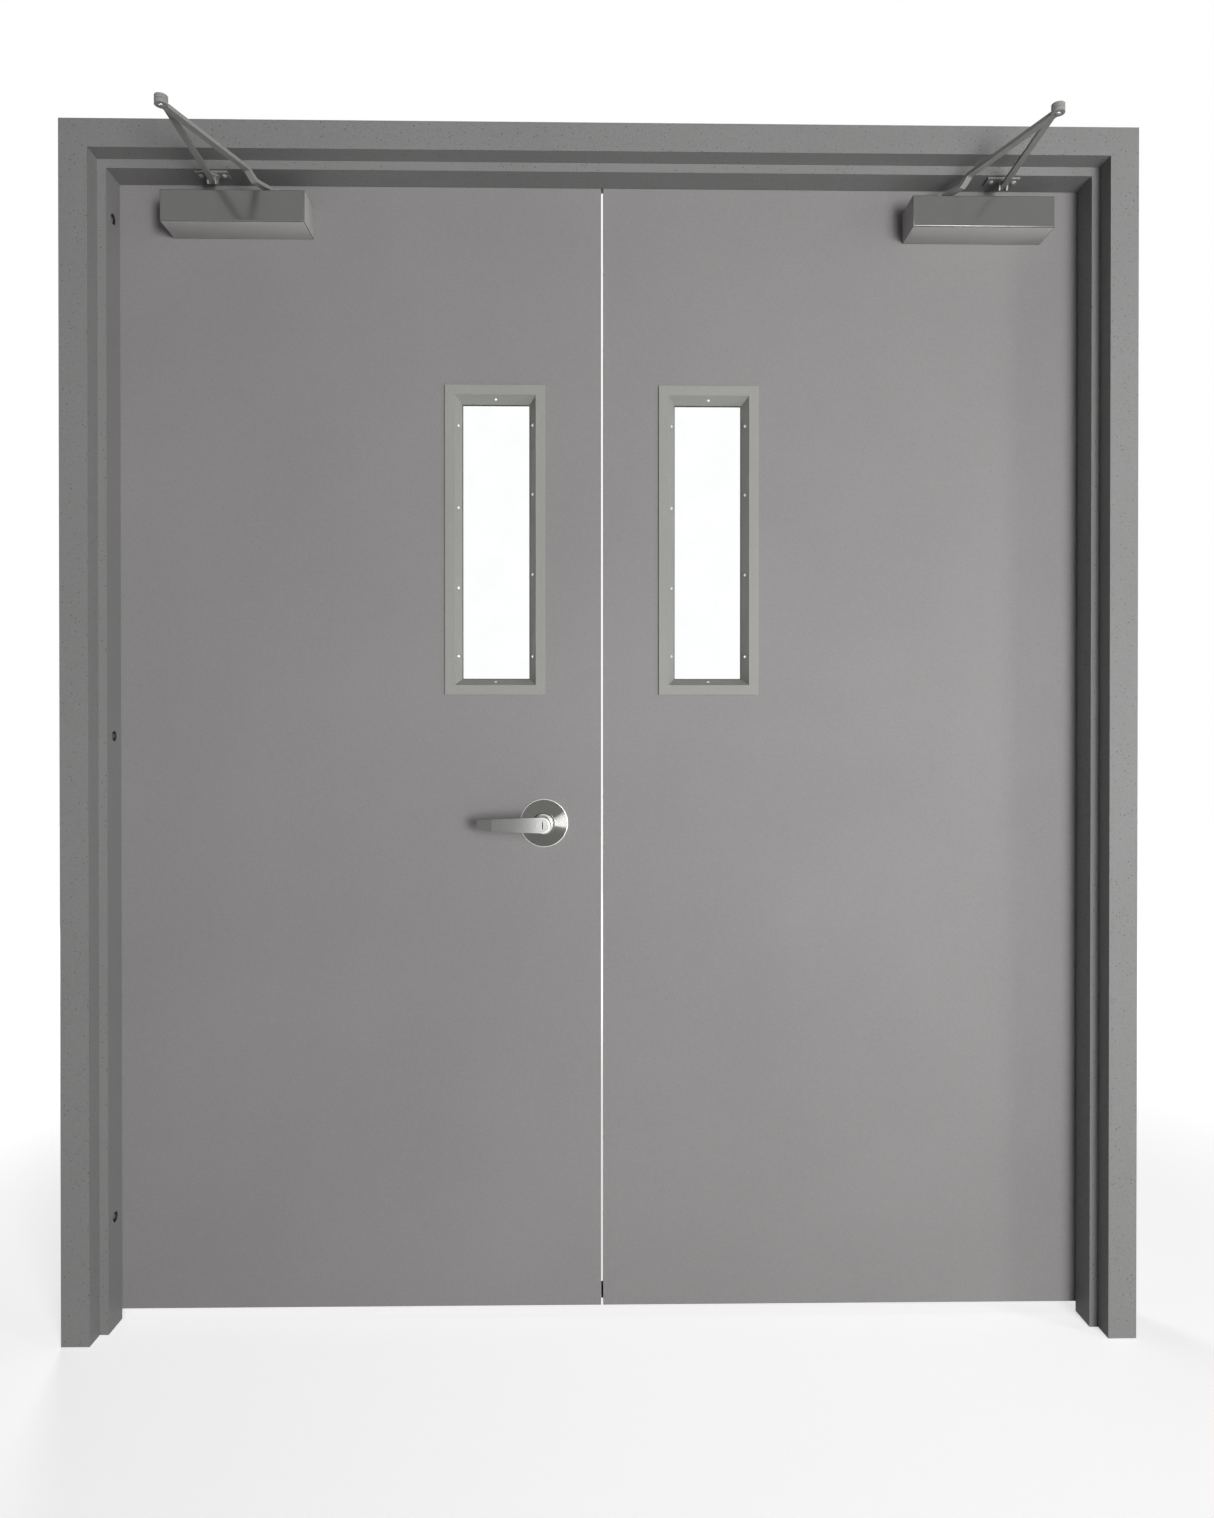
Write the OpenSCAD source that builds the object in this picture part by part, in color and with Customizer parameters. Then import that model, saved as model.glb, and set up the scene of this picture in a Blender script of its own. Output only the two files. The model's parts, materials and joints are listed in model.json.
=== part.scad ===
// Hollow metal double door in a welded double-rabbet frame.
// Millimetres, +Z up. The push side faces -Y, the leaves swing away towards +Y.
// Modules are written about the middle of the doorway at floor level, with the frame's
// near face at y = 0. placed() then moves the origin to the left jamb's floor anchor.

/* [Doorway] */
// Width of the doorway between the rabbet faces
opening_w = 1828.8; // [1500:1:2400]
// Height of the doorway from the floor to the head's rabbet face
opening_h = 2133.6; // [2000:1:2600]

/* [Frame] */
// Width of the face of jambs and head
face_w = 50.8; // [40:0.1:100]
// Depth of the near rabbet, which stays empty
near_rabbet = 39.7; // [30:0.1:60]
// Width of the stop's soffit
soffit_w = 57.15; // [50:0.01:90]
// Depth of the far rabbet, which holds the leaves
far_rabbet = 49.2; // [48.5:0.1:60]
// Height of the stop above the rabbets
stop_h = 15.9; // [12:0.1:25]
// Length of the return bend at the wall
return_w = 12.7; // [8:0.1:20]
// Thickness of the frame's steel sheet
frame_sheet_t = 1.6; // [1.2:0.1:2.5]

/* [Anchors] */
// Height of the lowest wall anchor above the floor
anchor_low_z = 203.5; // [150:0.5:400]
// Height of the middle wall anchor above the floor
anchor_middle_z = 1090; // [900:0.5:1300]
// Distance of the highest wall anchor below the head's rabbet face
anchor_top_gap = 94.6; // [60:0.1:300]
// Diameter of the dimple in the soffit at each wall anchor
dimple_d = 19; // [16:0.5:24]
// Depth of the dimple
dimple_depth = 4.5; // [3:0.1:7]
// Diameter of the wall anchor's bolt hole
anchor_hole_d = 10.4; // [8:0.1:13]
// Outer diameter of the pipe behind each dimple
pipe_d = 21.3; // [20:0.1:26]
// Width of the strap across the throat
strap_w = 38; // [30:1:60]
// Thickness of straps and floor anchors
anchor_t = 2.5; // [1.5:0.1:4]
// Width of a floor anchor
foot_w = 50; // [42:1:53]
// Length of a floor anchor's foot
foot_l = 58; // [45:1:80]
// Height of a floor anchor's upstand
foot_h = 60; // [40:1:100]
// Distance between a floor anchor's two bolt holes
foot_hole_pitch = 30; // [26:1:34]
// Diameter of a floor anchor's bolt holes
foot_hole_d = 9.5; // [7:0.1:11]

/* [Leaves] */
// Thickness of a leaf
leaf_t = 44.45; // [40:0.05:45.5]
// Clearance between a leaf and its stop, taken up by the silencers
stop_gap = 1.6; // [1:0.1:2.5]
// Clearance at the hinge edge and under the head
edge_gap = 3.2; // [2.4:0.1:5]
// Gap between the two meeting edges
meeting_gap = 4; // [3.8:0.1:6]
// Undercut of the leaves above the floor
undercut = 18; // [6:1:25]
// Thickness of a leaf's face sheets
skin_t = 1.2; // [0.9:0.1:1.6]
// Thickness of the channels that close the leaf's ends
channel_t = 1.5; // [1:0.1:2.5]
// Height of those channels
channel_h = 25; // [20:1:40]
// Height of the bottom channel's web above the leaf's lower edge
channel_recess = 20; // [10:1:22]

/* [Lites] */
// Visible width of a lite
lite_w = 127; // [100:1:250]
// Visible height of a lite
lite_h = 519; // [300:1:700]
// Distance of a lite's centre from the middle of the doorway
lite_x = 200.5; // [190:0.5:450]
// Height of a lite's centre
lite_z = 1458.4; // [1200:0.1:1600]
// Width of the flat trim round a lite
trim_w = 18; // [14:0.5:30]
// Width of the sloping part of the trim
trim_slope_w = 12.5; // [8:0.5:20]
// Height of the trim over the leaf's face
trim_rise = 4; // [2:0.5:8]
// Thickness of the trim's steel sheet
trim_t = 1.2; // [0.9:0.1:2]
// Width of the trim's foot on the glass
trim_foot_w = 9; // [6:0.5:12]
// Thickness of the glass
glass_t = 6; // [4:0.5:10]
// Distance that the glass reaches past the visible opening
glass_bite = 10; // [9.5:0.5:13]

/* [Hinges] */
// Height of a hinge
hinge_h = 114.3; // [90:0.1:127]
// Distance from the head down to the top hinge
hinge_top_gap = 127; // [100:1:250]
// Distance from the floor up to the bottom hinge
hinge_floor_gap = 254; // [200:1:350]
// Thickness of a hinge's leaves
hinge_t = 3.4; // [2.5:0.1:4]
// Radius of a hinge's knuckles
knuckle_r = 6.5; // [5.5:0.1:8]
// Radius of a hinge's pin
pin_r = 3; // [2:0.1:4]
// Clearance between a knuckle and the frame's far face
knuckle_gap = 0.65; // [0.5:0.05:2]
// Distance of a hinge leaf's hidden edge from the stop's far face
hinge_backset = 8; // [6:0.5:14]

/* [Closers] */
// Length of a closer's cover
closer_l = 260; // [220:1:320]
// Height of a closer's cover
closer_h = 57; // [50:1:59]
// Projection of a closer's cover from the leaf
closer_d = 68; // [58:1:80]
// Distance of a closer's underside below the head's soffit
closer_drop = 98.7; // [98.7:0.1:130]
// Distance of the left closer's centre from the doorway's left side
left_closer_in = 245.4; // [200:0.1:420]
// Distance of the right closer's centre from the doorway's right side
right_closer_in = 218.4; // [200:0.1:420]
// Radius along the cover's edges
cover_edge_r = 2.5; // [1:0.1:6]
// Distance of the pinion from the cover's centre, towards the meeting edge
pinion_x = 71; // [50:1:100]
// Radius of the pinion's shaft
pinion_r = 8; // [6:0.5:10]

/* [Closer arms] */
// Distance of the soffit bracket from the cover's centre, towards the hinges
bracket_x = 43; // [30:1:60]
// Distance of the elbow from the cover's centre, towards the hinges
elbow_x = 39.6; // [20:0.1:60]
// Distance of the elbow in front of the frame's near face
elbow_out = 189.7; // [150:0.1:230]
// Width of both arms
arm_w = 10; // [8:0.5:14]
// Thickness of the main arm
main_arm_t = 6.5; // [5:0.1:6.8]
// Distance of the main arm's outer run below the head's soffit
main_arm_drop = 22.7; // [22.5:0.1:23.7]
// Clearance between the main arm's inner run and the cover
arm_over_cover = 6.2; // [5:0.1:6.8]
// Thickness of the forearm
forearm_t = 5.2; // [4:0.1:5.5]
// Diameter of the eyes at the elbow
elbow_d = 21.5; // [18:0.5:26]
// Height of the boss on the forearm's eye
elbow_boss = 2; // [1:0.1:2.5]
// Length of the sloping step in the main arm
crank_l = 17.6; // [12:0.1:30]
// Distance from the pinion to that step
crank_start = 52.4; // [45:0.1:60]
// Distance by which the main arm bends out of its straight line at the step
crank_side = 8; // [0:0.5:9]

/* [Soffit brackets] */
// Length of a bracket's plate
plate_l = 59; // [50:1:80]
// Width of a bracket's plate
plate_w = 22.6; // [20:0.1:30]
// Thickness of a bracket's plate
plate_t = 3.2; // [2.5:0.1:4]
// Thickness of the swivelling yoke
yoke_t = 3; // [2:0.1:3.4]
// Thickness of each of the yoke's ears
ear_t = 3; // [2:0.1:4]
// Depth of the ears below the yoke
ear_drop = 15; // [12:0.5:16]
// Radius of the stud that the yoke turns on
stud_r = 4; // [3:0.1:4.5]

/* [Lock] */
// Distance of the lock's centre from the middle of the doorway
lock_x = 109.3; // [80:0.1:140]
// Height of the lock's centre
lock_z = 927.3; // [850:0.1:1100]
// Diameter of a rose at the leaf
rose_d = 90; // [70:1:100]
// Projection of a rose
rose_h = 17; // [10:0.5:24]
// Diameter of a lever's hub
hub_d = 37; // [30:0.5:40]
// Projection of a lever's front from the leaf
lever_out = 72; // [60:1:85]
// Reach of a lever from the hub's centre to its tip
lever_l = 121; // [100:1:140]
// Height of a lever at its hub
lever_root_h = 28.6; // [26:0.1:32]
// Height of a lever at its bend
lever_bend_h = 22.5; // [16:0.5:24]
// Height of a lever at its tip
lever_tip_h = 13; // [8:0.5:15]
// Rise of a lever's tip over the hub's centre
lever_tip_rise = 2; // [0:0.5:4]
// Thickness of a lever
lever_t = 13; // [9:0.5:16]
// How far the tip of a lever's grip turns back to the leaf
lever_return = 15; // [8:0.5:20]
// Diameter of the key cylinder
cylinder_d = 24; // [20:0.5:25]
// Diameter of the lock's hole through the leaf
lock_bore_d = 54; // [50:0.5:60]
// Radius of the spindle
spindle_r = 6; // [4:0.5:8]
// Height of the latch's front plate
latch_h = 57; // [50:0.5:70]
// Width of the latch's front plate
latch_w = 28; // [22:0.5:32]
// Thickness of the latch, strike and flush bolt plates
edge_plate_t = 2; // [1.5:0.1:3]
// Diameter of the latch's case
latch_case_d = 24; // [18:0.5:26]

/* [Inactive leaf] */
// Height of the strike plate
strike_h = 124; // [100:1:140]
// Height of a flush bolt's front plate
flush_bolt_h = 171; // [120:1:200]
// Distance of each flush bolt's front plate from the leaf's end
flush_bolt_inset = 150; // [80:1:300]
// Width of the flush bolts' front plates
flush_bolt_w = 25; // [20:0.5:30]
// Height of the rubber pad at the foot of the meeting edge
pad_h = 24; // [15:1:35]
// Diameter of a silencer
silencer_d = 12.7; // [10:0.1:13]
// Distance of the silencers from the middle of the doorway
silencer_x = 150; // [60:1:400]

/* [Hidden] */

$fn = 64;
eps = 0.01;
// Clearance between pieces that move past each other
run = 0.3;
// Radial clearance of a pin in its bore
pin_gap = 0.05;
// A length past every piece, for cutting tools
far = 400;

frame_depth = near_rabbet + soffit_w + far_rabbet;
stop_y = near_rabbet + soffit_w;
soffit_y = near_rabbet + soffit_w / 2;
soffit_z = opening_h - stop_h;

// The frame's section as [distance outwards from the rabbet face, depth from the near face]
frame_path = [
    [face_w, return_w], [face_w, 0], [0, 0], [0, near_rabbet], [-stop_h, near_rabbet],
    [-stop_h, stop_y], [0, stop_y], [0, frame_depth], [face_w, frame_depth],
    [face_w, frame_depth - return_w]
];

leaf_y = stop_y + stop_gap;
leaf_back_y = leaf_y + leaf_t;
leaf_mid_y = leaf_y + leaf_t / 2;
leaf_hinge_x = opening_w / 2 - edge_gap;
leaf_meet_x = meeting_gap / 2;
leaf_top_z = opening_h - edge_gap;
flush_bolt_z = [
    undercut + flush_bolt_inset + flush_bolt_h / 2,
    leaf_top_z - flush_bolt_inset - flush_bolt_h / 2
];
strike_w = latch_w + 4;
strike_hole_w = 18;
strike_hole_h = 32;
// Half the open seam between the two face sheets' edge flanges
half_seam = 0.1;

// The leaf's cut-out for the lite, hidden behind the flat trim
cut_margin = trim_slope_w + trim_t * 3;
trim_out = trim_slope_w + trim_w;
glass_y = leaf_mid_y - glass_t / 2;

pin_x = opening_w / 2 - edge_gap / 2;
pin_y = frame_depth + knuckle_gap + knuckle_r;
hinge_z = [
    hinge_floor_gap + hinge_h / 2,
    (hinge_floor_gap + opening_h - hinge_top_gap) / 2,
    opening_h - hinge_top_gap - hinge_h / 2
];
hinge_inner_y = stop_y + hinge_backset;
knuckle_h = hinge_h / 5;

foot_x = opening_w / 2 - stop_h + frame_sheet_t + foot_l / 2;
anchor_z = [anchor_low_z, anchor_middle_z, opening_h - anchor_top_gap];

closer_z = soffit_z - closer_drop;
closer_top_z = closer_z + closer_h;
left_closer_x = opening_w / 2 - left_closer_in;
right_closer_x = opening_w / 2 - right_closer_in;
pinion_y = leaf_y - closer_d / 2;
plate_z = soffit_z - plate_t;
yoke_z = plate_z - run - yoke_t;
stud_head_t = 2.4;
// Lead of the step's upper corners over its lower ones, which keeps its thickness even
crank_lead = 2;
main_arm_z = soffit_z - main_arm_drop;
forearm_z = main_arm_z + main_arm_t + run;
inner_arm_z = closer_top_z + arm_over_cover;
bracket_y = 57;
// The pinion's collar and its recess in the cover
pinion_collar_r = pinion_r + 4;
pinion_recess = 8;
collar_proud = 1;
rivet_r = 1.6;
ear_gap = arm_w + 2 * run;

// How far a hinge's pin and its tips stand out of the knuckles
pin_tip_h = 3;
pin_tip_r = pin_r + 1.8;

// The key cylinder's length in the lever and how far it stands out
cylinder_l = 20;
cylinder_proud = 0.5;
keyway_w = 1.8;
keyway_h = 14;
keyway_depth = 6;
// Projection of a lever's collar from the leaf
collar_h = 26;
// Distance of a lever's bend and of its tapering lower edge from the hub's centre
lever_bend_x = 0.76 * lever_l;
lever_taper_x = 0.9 * lever_l;

frame_colour = [0.50, 0.50, 0.50];
leaf_colour = [0.56, 0.55, 0.54];
trim_colour = [0.63, 0.63, 0.61];
satin_colour = [0.62, 0.62, 0.60];
rubber_colour = [0.18, 0.18, 0.18];

// Moves a piece from the middle of the doorway to the frame of the whole part
module placed() {
    translate([foot_x, -soffit_y, 0]) children();
}

// Unit vector at a right angle to the left of the way from p to q
function left_of(p, q) = [p[1] - q[1], q[0] - p[0]] / norm(q - p);

// Corner i of a path moved sideways by t, with mitred bends
function moved_corner(path, i, t) =
    let (
        last = len(path) - 1,
        before = left_of(path[max(i - 1, 0)], path[max(i, 1)]),
        after = left_of(path[min(i, last - 1)], path[min(i + 1, last)])
    )
    path[i] + t * (before + after) / (1 + before * after);

// Outline of a sheet of thickness t bent along a path
function bent_sheet(path, t) = concat(
    path,
    [for (i = [len(path) - 1:-1:0]) moved_corner(path, i, t)]
);

// Turns an extruded outline so that its x lies along Y, its y along Z and its height along X
module along_x(l) {
    translate([-l / 2, 0, 0]) rotate([90, 0, 90]) linear_extrude(height = l) children();
}

// Turns an outline drawn in X and Z into a slab from y to y + t
module slab_y(y, t) {
    translate([0, y + t, 0]) rotate([90, 0, 0]) linear_extrude(height = t) children();
}

module box(x0, x1, y0, y1, z0, z1) {
    translate([x0, y0, z0]) cube([x1 - x0, y1 - y0, z1 - z0]);
}

// Everything on the outer side of the left mitre, or on its inner side
module beyond_mitre(side) {
    translate([-opening_w / 2, 0, opening_h]) rotate([0, 45, 0])
        translate([-far / 2, -far / 4, side > 0 ? 0 : -far]) cube(far);
}

// The left jamb's places for three hinge leaves, cut through the sheet and the far face's edge
module hinge_mortises(x, y1, grow) {
    for (z = hinge_z)
        box(x - grow, x + hinge_t, hinge_inner_y, y1, z - hinge_h / 2, z + hinge_h / 2);
}

// One sheet of the left jamb with a steel plate behind each hinge
module jamb_sheet() {
    difference() {
        union() {
            linear_extrude(height = opening_h + face_w)
                polygon([for (p = bent_sheet(frame_path, -frame_sheet_t)) [-opening_w / 2 - p[0], p[1]]]);
            for (z = hinge_z)
                box(-opening_w / 2 - 2 * hinge_t - 1, -opening_w / 2 - frame_sheet_t + eps,
                    stop_y - frame_sheet_t, frame_depth - frame_sheet_t + eps,
                    z - hinge_h * 0.8, z + hinge_h * 0.8);
        }
        beyond_mitre(1);
        hinge_mortises(-opening_w / 2 - hinge_t, frame_depth + 1, 0);
    }
}

// A dimple pressed into the soffit round a wall anchor's bolt hole, about the X axis
module dimple() {
    r0 = dimple_d / 2;
    r1 = anchor_hole_d / 2;
    rotate([0, -90, 0]) rotate_extrude()
        polygon([
            [r0 + frame_sheet_t, 0], [r0, 0], [r1 + 1.5, dimple_depth - frame_sheet_t],
            [r1, dimple_depth - frame_sheet_t], [r1, dimple_depth],
            [r1 + 1.5, dimple_depth], [r0 + frame_sheet_t, frame_sheet_t]
        ]);
}

module left_jamb() placed() color(frame_colour) {
    soffit_x = -opening_w / 2 + stop_h;
    difference() {
        jamb_sheet();
        for (z = anchor_z)
            translate([soffit_x + 1, soffit_y, z]) rotate([0, -90, 0])
                cylinder(d = dimple_d + frame_sheet_t, h = frame_sheet_t + 2);
    }
    for (z = anchor_z)
        translate([soffit_x, soffit_y, z]) dimple();
}

module right_jamb() placed() color(frame_colour) {
    mirror([1, 0, 0]) jamb_sheet();
}

module head() placed() color(frame_colour) {
    difference() {
        translate([0, 0, opening_h]) along_x(opening_w + 2 * face_w)
            polygon([for (p = bent_sheet(frame_path, -frame_sheet_t)) [p[1], p[0]]]);
        beyond_mitre(-1);
        mirror([1, 0, 0]) beyond_mitre(-1);
    }
}

// An angle inside the left jamb's foot, with two holes for bolts into the floor
module floor_anchor() {
    x1 = -opening_w / 2 + stop_h - frame_sheet_t;
    difference() {
        union() {
            box(x1 - foot_l, x1, soffit_y - foot_w / 2, soffit_y + foot_w / 2, 0, anchor_t);
            box(x1 - anchor_t, x1, soffit_y - foot_w / 2, soffit_y + foot_w / 2, 0, foot_h);
        }
        for (s = [-1, 1])
            translate([-foot_x, soffit_y + s * foot_hole_pitch / 2, -1])
                cylinder(d = foot_hole_d, h = anchor_t + 2);
    }
}

module left_floor_anchor() placed() color("dimgray") floor_anchor();
module right_floor_anchor() placed() color("dimgray") mirror([1, 0, 0]) floor_anchor();

// A strap across the left jamb's throat, seated on both returns' inner corners
module strap(z) {
    box(-opening_w / 2 - face_w + frame_sheet_t, -opening_w / 2 - face_w + frame_sheet_t + anchor_t,
        frame_sheet_t, frame_depth - frame_sheet_t, z - strap_w / 2, z + strap_w / 2);
}

module left_wall_anchors() placed() color("dimgray")
    for (z = anchor_z) {
        x0 = -opening_w / 2 - face_w + frame_sheet_t;
        difference() {
            union() {
                strap(z);
                translate([x0, soffit_y, z]) rotate([0, 90, 0])
                    cylinder(d = pipe_d, h = -opening_w / 2 + stop_h - dimple_depth - x0);
            }
            translate([x0 - 1, soffit_y, z]) rotate([0, 90, 0])
                cylinder(d = anchor_hole_d + 3, h = face_w + stop_h + 2);
        }
    }

module right_wall_anchors() placed() color("dimgray")
    mirror([1, 0, 0]) for (z = anchor_z) strap(z);

module silencers() placed() color(rubber_colour)
    for (s = [-1, 1])
        translate([s * silencer_x, stop_y, opening_h - stop_h / 2]) rotate([-90, 0, 0])
            cylinder(d = silencer_d, h = stop_gap - run);

// Knuckle number k of the left hinge at height z, solid round its pin
module knuckle(k, z) {
    translate([-pin_x, pin_y, z - hinge_h / 2 + k * knuckle_h + run / 2])
        cylinder(r = knuckle_r, h = knuckle_h - run);
}

// Plate and tabs that join every second knuckle, from knuckle number first on
module hinge_plate(x0, first, z) {
    box(x0, x0 + hinge_t, hinge_inner_y, pin_y - knuckle_r - run, z - hinge_h / 2, z + hinge_h / 2);
    for (k = [first:2:4]) {
        z0 = z - hinge_h / 2 + k * knuckle_h + run / 2;
        box(x0, x0 + hinge_t, pin_y - knuckle_r - run - 1, pin_y, z0, z0 + knuckle_h - run);
    }
}

module frame_hinges() {
    for (z = hinge_z) {
        difference() {
            union() {
                hinge_plate(-opening_w / 2 - hinge_t, 0, z);
                for (k = [0:2:4]) knuckle(k, z);
            }
            for (k = [1, 3])
                translate([-pin_x, pin_y, z - hinge_h / 2 + k * knuckle_h - run / 2])
                    cylinder(r = knuckle_r + run, h = knuckle_h + run);
        }
        translate([-pin_x, pin_y, z - hinge_h / 2 - pin_tip_h])
            cylinder(r = pin_r, h = hinge_h + 2 * pin_tip_h);
        for (tip_z = [-hinge_h / 2 - pin_tip_h, hinge_h / 2 - run / 2])
            translate([-pin_x, pin_y, z + tip_z])
                cylinder(r = pin_tip_r, h = pin_tip_h + run / 2);
    }
}

module leaf_hinges() {
    for (z = hinge_z)
        difference() {
            union() {
                hinge_plate(-leaf_hinge_x, 1, z);
                for (k = [1, 3]) knuckle(k, z);
            }
            for (k = [0:2:4])
                translate([-pin_x, pin_y, z - hinge_h / 2 + k * knuckle_h - run / 2])
                    cylinder(r = knuckle_r + run, h = knuckle_h + run);
            translate([-pin_x, pin_y, z - hinge_h / 2 - 1])
                cylinder(r = pin_r + pin_gap, h = hinge_h + 2);
        }
}

module left_frame_hinges() placed() color(satin_colour) frame_hinges();
module right_frame_hinges() placed() color(satin_colour) mirror([1, 0, 0]) frame_hinges();
module left_leaf_hinges() placed() color(satin_colour) leaf_hinges();
module right_leaf_hinges() placed() color(satin_colour) mirror([1, 0, 0]) leaf_hinges();

// What is cut out of a leaf: the lite, the hinge mortises and the edge plates
module leaf_cuts() {
    translate([-lite_x, 0, lite_z])
        box(-lite_w / 2 - cut_margin, lite_w / 2 + cut_margin, leaf_y - 1, leaf_back_y + 1,
            -lite_h / 2 - cut_margin, lite_h / 2 + cut_margin);
    hinge_mortises(-leaf_hinge_x, leaf_back_y + 1, 1);
}

// A plate let flush into the meeting edge at height z, or its mortise, which reaches past the edge
module edge_plate(w, h, z, over = 0) {
    box(-leaf_meet_x - edge_plate_t, -leaf_meet_x + over, leaf_mid_y - w / 2, leaf_mid_y + w / 2,
        z - h / 2, z + h / 2);
}

// Holes of the active leaf for its lock
module lock_cuts() {
    translate([-lock_x, leaf_y - 1, lock_z]) rotate([-90, 0, 0])
        cylinder(d = lock_bore_d, h = leaf_t + 2);
    edge_plate(latch_w, latch_h, lock_z, 1);
    translate([-leaf_meet_x + 1, leaf_mid_y, lock_z]) rotate([0, -90, 0])
        cylinder(d = latch_case_d, h = lock_x - leaf_meet_x);
}

// Holes of the inactive leaf for its strike and flush bolts, drawn as for a left leaf
module strike_cuts() {
    edge_plate(strike_w, strike_h, lock_z, 1);
    for (z = flush_bolt_z) edge_plate(flush_bolt_w, flush_bolt_h, z, 1);
}

// A face sheet with its two edge flanges, as the left leaf's front
module front_pan() {
    difference() {
        box(-leaf_hinge_x, -leaf_meet_x, leaf_y, leaf_mid_y - half_seam, undercut, leaf_top_z);
        box(-leaf_hinge_x + skin_t, -leaf_meet_x - skin_t, leaf_y + skin_t, leaf_mid_y + 1,
            undercut - 1, leaf_top_z + 1);
    }
}

module back_pan() {
    translate([0, 2 * leaf_mid_y, 0]) mirror([0, 1, 0]) front_pan();
}

module left_front_skin() placed() color(leaf_colour)
    difference() { front_pan(); leaf_cuts(); lock_cuts(); }
module left_back_skin() placed() color(leaf_colour)
    difference() { back_pan(); leaf_cuts(); lock_cuts(); }
module right_front_skin() placed() color(leaf_colour)
    mirror([1, 0, 0]) difference() { front_pan(); leaf_cuts(); strike_cuts(); }
module right_back_skin() placed() color(leaf_colour)
    mirror([1, 0, 0]) difference() { back_pan(); leaf_cuts(); strike_cuts(); }

// The honeycomb core between the face sheets and the end channels
module core() {
    box(-leaf_hinge_x + skin_t, -leaf_meet_x - skin_t, leaf_y + skin_t, leaf_back_y - skin_t,
        undercut + channel_recess + channel_t, leaf_top_z - channel_h);
}

module left_core() placed() color("tan")
    difference() { core(); leaf_cuts(); lock_cuts(); }
module right_core() placed() color("tan")
    mirror([1, 0, 0]) difference() { core(); leaf_cuts(); strike_cuts(); }

// Channel with its web up, closing one end of a leaf between the face sheets
module end_channel(z) {
    difference() {
        box(-leaf_hinge_x + skin_t, -leaf_meet_x - skin_t, leaf_y + skin_t, leaf_back_y - skin_t,
            z - channel_h, z);
        box(-leaf_hinge_x, -leaf_meet_x, leaf_y + skin_t + channel_t, leaf_back_y - skin_t - channel_t,
            z - channel_h - 1, z - channel_t);
    }
}

// The top channel is flush, the bottom one is cut down so that its web lies in the recess
module end_channels() {
    end_channel(leaf_top_z);
    difference() {
        end_channel(undercut + channel_recess + channel_t);
        box(-leaf_hinge_x, -leaf_meet_x, leaf_y, leaf_back_y, undercut - channel_h, undercut);
    }
}

module left_end_channels() placed() color(leaf_colour) end_channels();
module right_end_channels() placed() color(leaf_colour) mirror([1, 0, 0]) end_channels();

// One side of a lite's trim, from its mitre to its mitre, at half widths a and b from the centre
module trim_side(a, b) {
    path = [
        [trim_out, 0], [trim_out, -trim_rise], [trim_slope_w, -trim_rise],
        [0, glass_y - leaf_y], [trim_foot_w, glass_y - leaf_y]
    ];
    reach = trim_out + 5;
    intersection() {
        translate([0, leaf_y, -b - reach]) linear_extrude(height = 2 * (b + reach))
            polygon([for (p = bent_sheet(path, -trim_t)) [a + p[0], p[1]]]);
        slab_y(leaf_y - trim_rise - 1, leaf_t)
            polygon([[a - 1, 1 - b], [a + reach, -b - reach], [a + reach, b + reach], [a - 1, b - 1]]);
    }
}

module front_trim() {
    translate([-lite_x, 0, lite_z])
        for (k = [0:3])
            rotate([0, 90 * k, 0])
                trim_side((k % 2 == 0 ? lite_w : lite_h) / 2, (k % 2 == 0 ? lite_h : lite_w) / 2);
}

module back_trim() {
    translate([0, 2 * leaf_mid_y, 0]) mirror([0, 1, 0]) front_trim();
}

module glass() {
    translate([-lite_x, 0, lite_z])
        box(-lite_w / 2 - glass_bite, lite_w / 2 + glass_bite, glass_y, glass_y + glass_t,
            -lite_h / 2 - glass_bite, lite_h / 2 + glass_bite);
}

module left_front_trim() placed() color(trim_colour) front_trim();
module left_back_trim() placed() color(trim_colour) back_trim();
module left_glass() placed() color([0.9, 0.95, 0.95, 0.35]) glass();
module right_front_trim() placed() color(trim_colour) mirror([1, 0, 0]) front_trim();
module right_back_trim() placed() color(trim_colour) mirror([1, 0, 0]) back_trim();
module right_glass() placed() color([0.9, 0.95, 0.95, 0.35]) mirror([1, 0, 0]) glass();

// Rectangle from the origin with its two far corners rounded
module cover_outline(w, d, r) {
    translate([-w / 2, -d]) {
        translate([r, 0]) square([w - 2 * r, d]);
        translate([0, r]) square([w, d - r]);
        for (x = [r, w - r]) translate([x, r]) circle(r = r);
    }
}

// A closer's cover on the left leaf, at distance x from the middle
module closer(x) {
    translate([-x, leaf_y, closer_z]) difference() {
        intersection() {
            linear_extrude(height = closer_h) cover_outline(closer_l, closer_d, cover_edge_r);
            along_x(closer_l) rotate(-90) translate([-closer_h / 2, 0])
                cover_outline(closer_h, closer_d, cover_edge_r);
        }
        translate([pinion_x, pinion_y - leaf_y, closer_h - pinion_recess])
            cylinder(r = pinion_collar_r, h = pinion_recess + 1);
    }
}

module left_closer() placed() color(satin_colour) closer(left_closer_x);
module right_closer() placed() color(satin_colour) mirror([1, 0, 0]) closer(right_closer_x);

// The fixed plate under the soffit, with the stud that carries the yoke
module soffit_bracket(x) {
    translate([-x - bracket_x, bracket_y, 0]) {
        translate([-plate_l / 2, -plate_w / 2, plate_z]) cube([plate_l, plate_w, plate_t]);
        translate([0, 0, yoke_z - run - eps]) cylinder(r = stud_r, h = plate_z - yoke_z + run + 2 * eps);
        translate([0, 0, yoke_z - run - stud_head_t]) cylinder(r = stud_r + 1, h = stud_head_t);
    }
}

module left_soffit_bracket() placed() color(satin_colour) soffit_bracket(left_closer_x);
module right_soffit_bracket() placed() color(satin_colour) mirror([1, 0, 0]) soffit_bracket(right_closer_x);

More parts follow.
